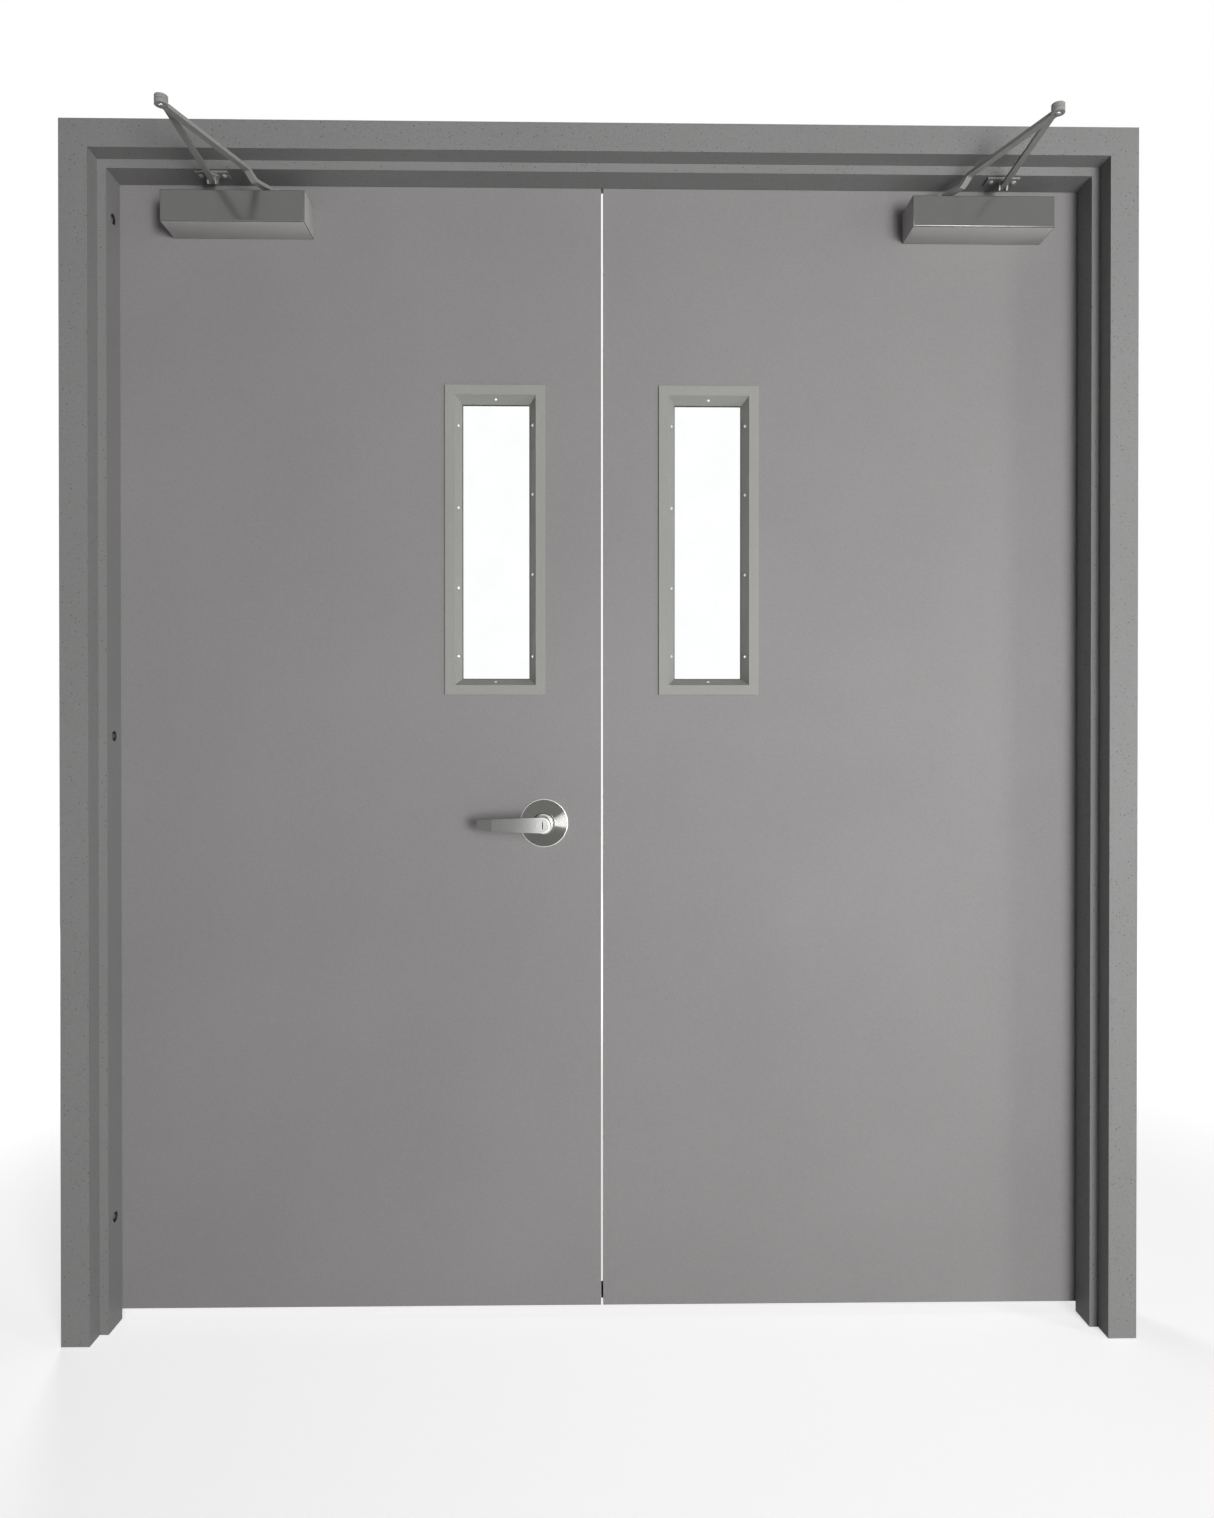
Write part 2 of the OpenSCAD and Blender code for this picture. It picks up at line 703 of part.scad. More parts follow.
// Where the arms' joints lie for a left closer at distance x from the middle
function pinion_at(x) = [-x + pinion_x, pinion_y];
function elbow_at(x) = [-x - elbow_x, -elbow_out];
function bracket_at(x) = [-x - bracket_x, bracket_y];
function bearing(p, q) = atan2(q[1] - p[1], q[0] - p[0]);

// Turns its children so that x runs from p towards q, with the origin at p
module from_to(p, q) {
    translate([p[0], p[1], 0]) rotate([0, 0, bearing(p, q)]) children();
}

// The forearm's eye and bar, thinner at the end that lies between the ears
module forearm(x) {
    e = elbow_at(x);
    b = bracket_at(x);
    l = norm(b - e);
    from_to(e, b) translate([0, 0, forearm_z]) difference() {
        union() {
            cylinder(d = elbow_d, h = forearm_t + elbow_boss);
            translate([0, -arm_w / 2, 0]) cube([l, arm_w, forearm_t]);
            translate([l, 0, 0]) cylinder(d = arm_w, h = forearm_t);
        }
        translate([l, arm_w, forearm_t / 2]) rotate([90, 0, 0])
            cylinder(r = rivet_r + pin_gap, h = 2 * arm_w);
    }
}

// The yoke's disc and its two hooked ears, turning with the forearm
module yoke(x) {
    e = elbow_at(x);
    b = bracket_at(x);
    from_to(b, e) {
        difference() {
            translate([0, 0, yoke_z]) cylinder(r = ear_gap / 2 + ear_t + 3, h = yoke_t);
            translate([0, 0, yoke_z - 1]) cylinder(r = stud_r + pin_gap, h = yoke_t + 2);
        }
        for (s = [-1, 1])
            slab_y(s > 0 ? ear_gap / 2 : -ear_gap / 2 - ear_t, ear_t)
                polygon([
                    [-8, yoke_z + eps], [8, yoke_z + eps], [9, yoke_z - ear_drop * 0.5],
                    [6, yoke_z - ear_drop], [2, yoke_z - ear_drop * 0.72],
                    [-5, yoke_z - ear_drop * 0.72]
                ]);
        slab_y(-ear_gap / 2 - eps, ear_gap + 2 * eps)
            translate([0, forearm_z + forearm_t / 2]) circle(r = rivet_r);
    }
}

// The main arm seen from the side: an outer run at the elbow's level, a sloping step and an
// inner run over the cover
module main_arm_side(l) {
    step_end = crank_start + crank_l;
    polygon([
        [0, inner_arm_z], [crank_start, inner_arm_z], [step_end, main_arm_z],
        [l, main_arm_z], [l, main_arm_z + main_arm_t],
        [step_end - crank_lead, main_arm_z + main_arm_t],
        [crank_start - crank_lead, inner_arm_z + main_arm_t], [0, inner_arm_z + main_arm_t]
    ]);
}

// The main arm seen from above, bent to the hinge side at the step
module main_arm_plan(l) {
    path = [[0, 0], [crank_start + crank_l / 2, -crank_side], [l, 0]];
    polygon(concat(
        [for (i = [0:2]) moved_corner(path, i, -arm_w / 2)],
        [for (i = [2:-1:0]) moved_corner(path, i, arm_w / 2)]
    ));
}

module main_arm(x) {
    p = pinion_at(x);
    e = elbow_at(x);
    l = norm(e - p);
    from_to(p, e) {
        translate([0, 0, closer_top_z - pinion_recess + run])
            cylinder(r = pinion_r, h = arm_over_cover + pinion_recess);
        translate([0, 0, inner_arm_z]) cylinder(r = pinion_collar_r, h = main_arm_t + collar_proud);
        intersection() {
            slab_y(-arm_w - crank_side, 2 * (arm_w + crank_side)) main_arm_side(l);
            translate([0, 0, closer_top_z]) linear_extrude(height = 2 * closer_h) main_arm_plan(l);
        }
        translate([l, 0, main_arm_z]) cylinder(d = elbow_d, h = main_arm_t);
    }
}

module left_forearm() placed() color(satin_colour) forearm(left_closer_x);
module right_forearm() placed() color(satin_colour) mirror([1, 0, 0]) forearm(right_closer_x);
module left_yoke() placed() color(satin_colour) yoke(left_closer_x);
module right_yoke() placed() color(satin_colour) mirror([1, 0, 0]) yoke(right_closer_x);
module left_main_arm() placed() color(satin_colour) main_arm(left_closer_x);
module right_main_arm() placed() color(satin_colour) mirror([1, 0, 0]) main_arm(right_closer_x);

// Puts its children, drawn about +Z with z = 0 on the leaf, on the front of the lock
module on_front() {
    translate([-lock_x, leaf_y, lock_z]) rotate([90, 0, 0]) children();
}

module on_back() {
    translate([0, 2 * leaf_mid_y, 0]) mirror([0, 1, 0]) on_front() children();
}

module rose() {
    rotate_extrude()
        polygon([
            [hub_d / 2 + run, 0], [rose_d / 2, 0], [rose_d / 2, 2],
            [hub_d / 2 + 3, rose_h], [hub_d / 2 + run, rose_h]
        ]);
}

module front_rose() placed() color(satin_colour) on_front() rose();
module back_rose() placed() color(satin_colour) on_back() rose();

module lock_chassis() placed() color("gray")
    translate([-lock_x, leaf_y, lock_z]) rotate([-90, 0, 0]) difference() {
        cylinder(d = lock_bore_d - 2 * run, h = leaf_t);
        translate([0, 0, -1]) cylinder(r = spindle_r + pin_gap, h = leaf_t + 2);
    }

// The flush latch: its plate in the meeting edge and its case behind
module latch() placed() color(satin_colour) {
    edge_plate(latch_w, latch_h, lock_z);
    case_l = lock_x - leaf_meet_x - lock_bore_d / 2 - edge_plate_t + run;
    translate([-leaf_meet_x - edge_plate_t + eps, leaf_mid_y, lock_z]) rotate([0, -90, 0])
        cylinder(d = latch_case_d - 2 * run, h = case_l);
}

// A lever's grip seen from above, as a bar that bends back to the leaf at its tip
module lever_plan() {
    polygon([
        [0, lever_out], [lever_bend_x, lever_out], [lever_l, lever_out - lever_return],
        [lever_l - lever_t / 4, lever_out - lever_return - lever_t / 2],
        [lever_bend_x - lever_t / 4, lever_out - lever_t],
        [0, lever_out - lever_t]
    ]);
}

// A lever's grip seen from the front: nearly level above, tapering below towards the tip
module lever_front() {
    root = lever_root_h / 2;
    bend = lever_bend_h / 2;
    tip = lever_tip_h / 2;
    polygon([
        [0, -root], [lever_bend_x, -bend - lever_tip_rise / 4],
        [lever_taper_x, -(bend + tip) / 2], [lever_l, lever_tip_rise - tip],
        [lever_l, lever_tip_rise + tip], [lever_bend_x, bend], [0, root]
    ]);
}

// A lever with its collar and neck, drawn about +Z with its grip towards -X, or +X where mirrored
module lever(with_cylinder) {
    difference() {
        union() {
            translate([0, 0, run]) cylinder(d = hub_d, h = collar_h - run);
            translate([0, 0, run]) cylinder(d = lever_root_h, h = lever_out - run);
            intersection() {
                rotate([90, 0, 180]) translate([0, 0, -lever_root_h])
                    linear_extrude(height = 2 * lever_root_h) lever_plan();
                mirror([1, 0, 0]) linear_extrude(height = lever_out + 1) lever_front();
            }
        }
        if (with_cylinder)
            translate([0, 0, lever_out - cylinder_l]) cylinder(d = cylinder_d, h = cylinder_l + 1);
    }
}

module front_lever() placed() color(satin_colour) {
    on_front() lever(true);
    translate([-lock_x, leaf_y - 2 * run, lock_z]) rotate([-90, 0, 0])
        cylinder(r = spindle_r, h = leaf_t / 2 + 2 * run);
}

module back_lever() placed() color(satin_colour) {
    on_back() lever(false);
    translate([-lock_x, leaf_mid_y, lock_z]) rotate([-90, 0, 0])
        cylinder(r = spindle_r, h = leaf_t / 2 + 2 * run);
}

module key_cylinder() placed() color("silver")
    on_front() translate([0, 0, lever_out - cylinder_l]) difference() {
        cylinder(d = cylinder_d, h = cylinder_l + cylinder_proud);
        translate([-keyway_w / 2, -keyway_h / 2, cylinder_l + cylinder_proud - keyway_depth])
            cube([keyway_w, keyway_h, keyway_depth + 1]);
    }

module strike_plate() placed() color(satin_colour)
    mirror([1, 0, 0]) difference() {
        edge_plate(strike_w, strike_h, lock_z);
        box(-leaf_meet_x - edge_plate_t - 1, -leaf_meet_x + 1, leaf_mid_y - strike_hole_w / 2,
            leaf_mid_y + strike_hole_w / 2, lock_z - strike_hole_h / 2, lock_z + strike_hole_h / 2);
    }

module flush_bolts() placed() color(satin_colour)
    mirror([1, 0, 0]) for (z = flush_bolt_z) edge_plate(flush_bolt_w, flush_bolt_h, z);

module meeting_edge_pad() placed() color(rubber_colour)
    box(run + 0.3 - leaf_meet_x, leaf_meet_x, leaf_mid_y + 4, leaf_back_y - 1, undercut, undercut + pad_h);

left_jamb();
right_jamb();
head();
left_floor_anchor();
right_floor_anchor();
left_wall_anchors();
right_wall_anchors();
silencers();
left_frame_hinges();
right_frame_hinges();
left_soffit_bracket();
right_soffit_bracket();
left_front_skin();
left_back_skin();
left_core();
left_end_channels();
left_front_trim();
left_back_trim();
left_glass();
left_leaf_hinges();
left_closer();
front_rose();
back_rose();
lock_chassis();
latch();
front_lever();
back_lever();
key_cylinder();
left_main_arm();
left_forearm();
left_yoke();
right_front_skin();
right_back_skin();
right_core();
right_end_channels();
right_front_trim();
right_back_trim();
right_glass();
right_leaf_hinges();
right_closer();
strike_plate();
flush_bolts();
meeting_edge_pad();
right_main_arm();
right_forearm();
right_yoke();
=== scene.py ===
"""Looks of a hollow metal double door: finishes, rounded edges, fasteners, light and camera."""

from __future__ import annotations

import json
import logging
import math
from dataclasses import dataclass
from enum import Enum
from typing import Callable, Iterable, Sequence

import bmesh
import bpy
from mathutils import Matrix, Vector


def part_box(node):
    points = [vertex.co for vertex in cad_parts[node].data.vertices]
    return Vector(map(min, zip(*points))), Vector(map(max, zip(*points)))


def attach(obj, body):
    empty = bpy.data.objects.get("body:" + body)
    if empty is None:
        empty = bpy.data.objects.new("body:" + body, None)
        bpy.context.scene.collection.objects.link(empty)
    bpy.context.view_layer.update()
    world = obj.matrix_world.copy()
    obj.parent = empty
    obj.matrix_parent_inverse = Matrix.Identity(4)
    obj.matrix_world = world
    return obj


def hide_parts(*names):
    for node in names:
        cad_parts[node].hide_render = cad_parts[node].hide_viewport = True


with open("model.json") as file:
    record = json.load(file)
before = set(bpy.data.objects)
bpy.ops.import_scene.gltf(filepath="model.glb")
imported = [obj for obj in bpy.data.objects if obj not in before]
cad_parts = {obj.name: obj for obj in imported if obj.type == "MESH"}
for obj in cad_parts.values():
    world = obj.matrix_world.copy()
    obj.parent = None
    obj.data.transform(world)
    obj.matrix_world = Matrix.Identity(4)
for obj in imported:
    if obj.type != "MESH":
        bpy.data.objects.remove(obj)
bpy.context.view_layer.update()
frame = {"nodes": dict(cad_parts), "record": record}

log = logging.getLogger("double_door")

Colour = tuple[float, float, float]
Point = tuple[float, float, float]

# Sizes of the doorway in millimetres, about its middle at floor level and the frame's near face
ORIGIN_X = 929.1
ORIGIN_Y = 68.275
OPENING_HALF = 914.4
LEAF_FRONT = 98.45
LEAF_BACK = 142.9
LEAF_MIDDLE = (LEAF_FRONT + LEAF_BACK) / 2
SOFFIT_Z = 2117.7
MAIN_ARM_Z = 2095.0
MAIN_ARM_T = 6.5
FOREARM_Z = 2101.8
FOREARM_T = 5.2
ELBOW_BOSS = 2.0
HUB_TOP_Z = 2089.7
PLATE_Z = 2114.5


def at(x: float, y: float, z: float) -> Vector:
    """Turns a point in millimetres about the middle of the doorway into the row frame.

    Args:
        x: Distance to the right of the middle.
        y: Distance behind the frame's near face.
        z: Height above the floor.

    Returns:
        The same point in metres in the row frame.
    """
    return Vector(((x + ORIGIN_X) / 1000, (y - ORIGIN_Y) / 1000, z / 1000))


class Side(Enum):
    """One half of the doorway, seen from the push side."""

    LEFT = -1
    RIGHT = 1

    @property
    def word(self) -> str:
        """The side's word in the names of nodes and bodies."""
        return "left" if self is Side.LEFT else "right"


class HeadStyle(Enum):
    """Shape of a fastener's head."""

    CROSS = "cross"
    HEX = "hex"
    DOME = "dome"


class Detail(Enum):
    """Finish of a small piece that differs from its neighbours."""

    LEVER = "lever"
    ROSE = "rose"
    CYLINDER = "cylinder"
    SCREW = "screw"
    PALE_SCREW = "pale_screw"
    COVER_PLATES_AND_PAINTED_LIGHT = "cover_plates_and_painted_light"
    TAPE = "tape"
    PAINTED_HOLE_SHADE = "painted_hole_shade"


# Shader groups that more than one finish uses


class NodeGroupMaker:
    """Builds a shader node group once and hands it out by name."""

    def __init__(self, name: str, inputs: Sequence[tuple[str, str, object]], outputs: Sequence[tuple[str, str]]) -> None:
        """Starts an empty group.

        Args:
            name: Name of the group.
            inputs: Name, socket type and default of each input.
            outputs: Name and socket type of each output.
        """
        self.tree = bpy.data.node_groups.new(name, "ShaderNodeTree")
        for label, kind, value in inputs:
            socket = self.tree.interface.new_socket(name=label, in_out="INPUT", socket_type=kind)
            if value is not None:
                socket.default_value = value
        for label, kind in outputs:
            self.tree.interface.new_socket(name=label, in_out="OUTPUT", socket_type=kind)
        self.source = self.tree.nodes.new("NodeGroupInput")
        self.target = self.tree.nodes.new("NodeGroupOutput")

    def add(self, kind: str, **values: object) -> bpy.types.Node:
        """Adds a node with its properties and named inputs.

        Args:
            kind: The node's type.
            **values: Properties, or inputs by name with underscores for spaces.

        Returns:
            The node.
        """
        return add_node(self.tree, kind, **values)

    def link(self, a: bpy.types.NodeSocket, b: bpy.types.NodeSocket) -> None:
        """Links two sockets."""
        self.tree.links.new(a, b)


def add_node(tree: bpy.types.NodeTree, kind: str, **values: object) -> bpy.types.Node:
    """Adds a node to a tree and sets its properties or unlinked inputs.

    Args:
        tree: The node tree.
        kind: The node's type.
        **values: Properties by name, else inputs by name with underscores for spaces.

    Returns:
        The new node.
    """
    node = tree.nodes.new(kind)
    for key, value in values.items():
        if hasattr(node, key):
            setattr(node, key, value)
        else:
            node.inputs[key.replace("_", " ")].default_value = value
    return node


def grain_group() -> bpy.types.NodeTree:
    """Fine sprayed grain with a slow drift of tone.

    Returns:
        A group that puts out Tone around 0.5 and Height.
    """
    made = NodeGroupMaker(
        "sprayed_grain",
        [("Vector", "NodeSocketVector", None), ("Grain Scale", "NodeSocketFloat", 900.0), ("Drift Scale", "NodeSocketFloat", 3.0), ("Drift", "NodeSocketFloat", 0.3)],
        [("Tone", "NodeSocketFloat"), ("Height", "NodeSocketFloat")],
    )
    fine = made.add("ShaderNodeTexNoise", Detail=2.0, Roughness=0.6)
    slow = made.add("ShaderNodeTexNoise", Detail=3.0, Roughness=0.5)
    for node, scale in ((fine, "Grain Scale"), (slow, "Drift Scale")):
        made.link(made.source.outputs["Vector"], node.inputs["Vector"])
        made.link(made.source.outputs[scale], node.inputs["Scale"])
    mix = made.add("ShaderNodeMix", data_type="FLOAT")
    made.link(made.source.outputs["Drift"], mix.inputs[0])
    made.link(fine.outputs["Fac"], mix.inputs[2])
    made.link(slow.outputs["Fac"], mix.inputs[3])
    made.link(mix.outputs[0], made.target.inputs["Tone"])
    made.link(fine.outputs["Fac"], made.target.inputs["Height"])
    return made.tree


def speck_group() -> bpy.types.NodeTree:
    """Small dark specks of uneven size.

    Returns:
        A group that puts out Mask, 1 inside a speck.
    """
    made = NodeGroupMaker(
        "dark_specks",
        [("Vector", "NodeSocketVector", None), ("Scale", "NodeSocketFloat", 170.0), ("Size", "NodeSocketFloat", 0.2)],
        [("Mask", "NodeSocketFloat")],
    )
    cells = made.add("ShaderNodeTexVoronoi", feature="F1")
    made.link(made.source.outputs["Vector"], cells.inputs["Vector"])
    made.link(made.source.outputs["Scale"], cells.inputs["Scale"])
    parts = made.add("ShaderNodeSeparateColor")
    made.link(cells.outputs["Color"], parts.inputs[0])
    grow = made.add("ShaderNodeMath", operation="POWER")
    grow.inputs[1].default_value = 0.6
    made.link(parts.outputs[0], grow.inputs[0])
    limit = made.add("ShaderNodeMath", operation="MULTIPLY")
    made.link(grow.outputs[0], limit.inputs[0])
    made.link(made.source.outputs["Size"], limit.inputs[1])
    soft = made.add("ShaderNodeMath", operation="MULTIPLY")
    soft.inputs[1].default_value = 0.2
    made.link(limit.outputs[0], soft.inputs[0])
    ramp = made.add("ShaderNodeMapRange", interpolation_type="SMOOTHSTEP")
    ramp.inputs["To Min"].default_value = 1.0
    ramp.inputs["To Max"].default_value = 0.0
    made.link(cells.outputs["Distance"], ramp.inputs["Value"])
    made.link(soft.outputs[0], ramp.inputs["From Min"])
    made.link(limit.outputs[0], ramp.inputs["From Max"])
    made.link(ramp.outputs[0], made.target.inputs["Mask"])
    return made.tree


def brushed_group() -> bpy.types.NodeTree:
    """Fine parallel brush marks, drawn out along one axis.

    Returns:
        A group that puts out Tone and Height.
    """
    made = NodeGroupMaker(
        "brush_marks",
        [("Vector", "NodeSocketVector", None), ("Stretch", "NodeSocketVector", (1.0, 40.0, 40.0)), ("Scale", "NodeSocketFloat", 60.0)],
        [("Tone", "NodeSocketFloat"), ("Height", "NodeSocketFloat")],
    )
    scaled = made.add("ShaderNodeVectorMath", operation="MULTIPLY")
    made.link(made.source.outputs["Vector"], scaled.inputs[0])
    made.link(made.source.outputs["Stretch"], scaled.inputs[1])
    lines = made.add("ShaderNodeTexNoise", Detail=4.0, Roughness=0.65)
    made.link(scaled.outputs[0], lines.inputs["Vector"])
    made.link(made.source.outputs["Scale"], lines.inputs["Scale"])
    made.link(lines.outputs["Fac"], made.target.inputs["Tone"])
    made.link(lines.outputs["Fac"], made.target.inputs["Height"])
    return made.tree


def handled_group() -> bpy.types.NodeTree:
    """Cloudy patches where hands and cloths have changed the gloss.

    Returns:
        A group that puts out Mask from 0 to 1.
    """
    made = NodeGroupMaker(
        "handled_patches",
        [("Vector", "NodeSocketVector", None), ("Scale", "NodeSocketFloat", 9.0), ("Amount", "NodeSocketFloat", 0.5)],
        [("Mask", "NodeSocketFloat")],
    )
    cloud = made.add("ShaderNodeTexNoise", Detail=5.0, Roughness=0.62, Distortion=0.4)
    made.link(made.source.outputs["Vector"], cloud.inputs["Vector"])
    made.link(made.source.outputs["Scale"], cloud.inputs["Scale"])
    ramp = made.add("ShaderNodeMapRange", interpolation_type="SMOOTHSTEP")
    ramp.inputs["From Min"].default_value = 0.42
    ramp.inputs["From Max"].default_value = 0.68
    made.link(cloud.outputs["Fac"], ramp.inputs["Value"])
    made.link(made.source.outputs["Amount"], ramp.inputs["To Max"])
    made.link(ramp.outputs[0], made.target.inputs["Mask"])
    return made.tree


class SharedEffects:
    """The shader groups, each built once."""

    def __init__(self) -> None:
        """Builds every group."""
        self.grain = grain_group()
        self.specks = speck_group()
        self.brushed = brushed_group()
        self.handled = handled_group()


# Finishes


class Canvas:
    """A new material with its Principled shader, ready for a finish to fill in."""

    def __init__(self, name: str) -> None:
        """Starts a material.

        Args:
            name: The material's name.
        """
        self.material = bpy.data.materials.new(name)
        self.material.use_nodes = True
        self.tree = self.material.node_tree
        self.shader = self.tree.nodes["Principled BSDF"]
        self.place = add_node(self.tree, "ShaderNodeTexCoord").outputs["Object"]

    def group(self, tree: bpy.types.NodeTree, **values: object) -> bpy.types.Node:
        """Places a shader group that reads Object coordinates.

        Args:
            tree: The group's tree.
            **values: Its inputs by name with underscores for spaces.

        Returns:
            The group's node.
        """
        node = self.tree.nodes.new("ShaderNodeGroup")
        node.node_tree = tree
        self.tree.links.new(self.place, node.inputs["Vector"])
        for key, value in values.items():
            node.inputs[key.replace("_", " ")].default_value = value
        return node

    def blend(self, fac: bpy.types.NodeSocket, a: Colour | bpy.types.NodeSocket, b: Colour) -> bpy.types.NodeSocket:
        """Mixes two colours by a mask.

        Args:
            fac: The mask.
            a: Colour, or a socket with one, where the mask is 0.
            b: Colour where the mask is 1.

        Returns:
            The mixed colour's socket.
        """
        mix = add_node(self.tree, "ShaderNodeMix", data_type="RGBA")
        self.tree.links.new(fac, mix.inputs[0])
        if isinstance(a, bpy.types.NodeSocket):
            self.tree.links.new(a, mix.inputs[6])
        else:
            mix.inputs[6].default_value = (*a, 1.0)
        mix.inputs[7].default_value = (*b, 1.0)
        return mix.outputs[2]

    def spread(self, value: bpy.types.NodeSocket, low: float, high: float, start: float = 0.3, end: float = 0.7) -> bpy.types.NodeSocket:
        """Maps a mask to a range of values.

        Args:
            value: The mask.
            low: Result at start.
            high: Result at end.
            start: Mask value that gives low.
            end: Mask value that gives high.

        Returns:
            The mapped value's socket.
        """
        ramp = add_node(self.tree, "ShaderNodeMapRange")
        for key, number in (("From Min", start), ("From Max", end), ("To Min", low), ("To Max", high)):
            ramp.inputs[key].default_value = number
        self.tree.links.new(value, ramp.inputs["Value"])
        return ramp.outputs[0]

    def bump(self, height: bpy.types.NodeSocket, depth: float) -> None:
        """Feeds a height through a Bump node into the shader's normal.

        Args:
            height: The height's socket.
            depth: Distance in metres.
        """
        node = add_node(self.tree, "ShaderNodeBump")
        node.inputs["Distance"].default_value = depth
        self.tree.links.new(height, node.inputs["Height"])
        self.tree.links.new(node.outputs["Normal"], self.shader.inputs["Normal"])

    def feed(self, socket: bpy.types.NodeSocket, name: str) -> None:
        """Links a socket to one of the shader's inputs."""
        self.tree.links.new(socket, self.shader.inputs[name])

    def fixed(self, **values: object) -> None:
        """Sets constants on the shader's own sockets, by name with underscores for spaces."""
        for key, value in values.items():
            self.shader.inputs[key.replace("_", " ")].default_value = value


@dataclass(frozen=True)
class SprayedPaint:
    """Satin paint on steel sheet, with fine grain, drifting tone and a few handled patches."""

    name: str
    light: Colour
    dark: Colour
    roughness: float
    grain_scale: float
    bump_depth: float
    speck: Colour | None = None
    speck_scale: float = 100.0
    speck_size: float = 0.2
    flake: float = 0.0
    specular: float = 0.35

    def make(self, effects: SharedEffects) -> bpy.types.Material:
        """Builds the material.

        Args:
            effects: The shared shader groups.

        Returns:
            The material.
        """
        c = Canvas(self.name)
        grain = c.group(effects.grain, Grain_Scale=self.grain_scale, Drift_Scale=2.2, Drift=0.3)
        tone = c.blend(c.spread(grain.outputs["Tone"], 0.0, 1.0, 0.38, 0.62), self.dark, self.light)
        if self.speck is not None:
            specks = c.group(effects.specks, Scale=self.speck_scale, Size=self.speck_size)
            tone = c.blend(specks.outputs["Mask"], tone, self.speck)
        c.feed(tone, "Base Color")
        patches = c.group(effects.handled, Scale=5.0, Amount=0.6)
        c.feed(c.spread(patches.outputs["Mask"], self.roughness, self.roughness - 0.07, 0.0, 1.0), "Roughness")
        c.fixed(Metallic=self.flake, IOR=1.45, Specular_IOR_Level=self.specular)
        c.bump(grain.outputs["Height"], self.bump_depth)
        return c.material


@dataclass(frozen=True)
class BrushedMetal:
    """Bare or plated metal with brush marks along one axis."""

    name: str
    light: Colour
    dark: Colour
    roughness: float
    stretch: Point
    scale: float
    bump_depth: float
    wear: float = 0.06
    crown: float = 0.0
    crown_x: float = 0.0
    metal: float = 1.0

    def make(self, effects: SharedEffects) -> bpy.types.Material:
        """Builds the material.

        Args:
            effects: The shared shader groups.

        Returns:
            The material.
        """
        c = Canvas(self.name)
        marks = c.group(effects.brushed, Stretch=self.stretch, Scale=self.scale)
        c.feed(c.blend(c.spread(marks.outputs["Tone"], 0.0, 1.0), self.dark, self.light), "Base Color")
        patches = c.group(effects.handled, Scale=24.0, Amount=1.0)
        c.feed(c.spread(patches.outputs["Mask"], self.roughness, self.roughness + self.wear, 0.0, 1.0), "Roughness")
        c.fixed(Metallic=self.metal)
        if self.crown:
            c.bump(self.crowned(c, marks.outputs["Height"]), 1.0)
        else:
            c.bump(marks.outputs["Height"], self.bump_depth)
        return c.material

    def crowned(self, c: Canvas, marks: bpy.types.NodeSocket) -> bpy.types.NodeSocket:
        """Adds the gentle crown of a forged grip along X to the brush marks.

        Args:
            c: The material's canvas.
            marks: The marks' height.

        Returns:
            The height in metres.
        """
        parts = add_node(c.tree, "ShaderNodeSeparateXYZ")
        c.tree.links.new(c.place, parts.inputs[0])
        away = add_node(c.tree, "ShaderNodeMath", operation="SUBTRACT")
        away.inputs[1].default_value = self.crown_x
        c.tree.links.new(parts.outputs["X"], away.inputs[0])
        square = add_node(c.tree, "ShaderNodeMath", operation="MULTIPLY")
        c.tree.links.new(away.outputs[0], square.inputs[0])
        c.tree.links.new(away.outputs[0], square.inputs[1])
        fall = add_node(c.tree, "ShaderNodeMath", operation="MULTIPLY")
        fall.inputs[1].default_value = -self.crown / 2
        c.tree.links.new(square.outputs[0], fall.inputs[0])
        total = add_node(c.tree, "ShaderNodeMath", operation="MULTIPLY_ADD")
        total.inputs[1].default_value = self.bump_depth
        c.tree.links.new(marks, total.inputs[0])
        c.tree.links.new(fall.outputs[0], total.inputs[2])
        return total.outputs[0]


@dataclass(frozen=True)
class MilledSteel:
    """Plated steel with the crystal pattern of a zinc bath."""

    name: str
    light: Colour
    dark: Colour

    def make(self, effects: SharedEffects) -> bpy.types.Material:
        """Builds the material.

        Args:
            effects: The shared shader groups.

        Returns:
            The material.
        """
        c = Canvas(self.name)
        cells = add_node(c.tree, "ShaderNodeTexVoronoi", feature="F1", Scale=110.0)
        c.tree.links.new(c.place, cells.inputs["Vector"])
        parts = add_node(c.tree, "ShaderNodeSeparateColor")
        c.tree.links.new(cells.outputs["Color"], parts.inputs[0])
        c.feed(c.blend(parts.outputs[0], self.dark, self.light), "Base Color")
        c.feed(c.spread(parts.outputs[1], 0.32, 0.5, 0.0, 1.0), "Roughness")
        c.fixed(Metallic=0.9)
        grain = c.group(effects.grain, Grain_Scale=500.0)
        c.bump(grain.outputs["Height"], 0.00004)
        return c.material


@dataclass(frozen=True)
class KraftHoneycomb:
    """Kraft paper cells of a leaf's core."""

    name: str
    paper: Colour
    hollow: Colour

    def make(self, effects: SharedEffects) -> bpy.types.Material:
        """Builds the material.

        Args:
            effects: The shared shader groups.

        Returns:
            The material.
        """
        c = Canvas(self.name)
        cells = add_node(c.tree, "ShaderNodeTexVoronoi", feature="DISTANCE_TO_EDGE", Scale=55.0, Randomness=0.15)
        c.tree.links.new(c.place, cells.inputs["Vector"])
        walls = c.spread(cells.outputs["Distance"], 1.0, 0.0, 0.03, 0.08)
        c.feed(c.blend(walls, self.hollow, self.paper), "Base Color")
        grain = c.group(effects.grain, Grain_Scale=700.0)
        c.feed(c.spread(grain.outputs["Tone"], 0.75, 0.95), "Roughness")
        c.bump(walls, 0.001)
        return c.material


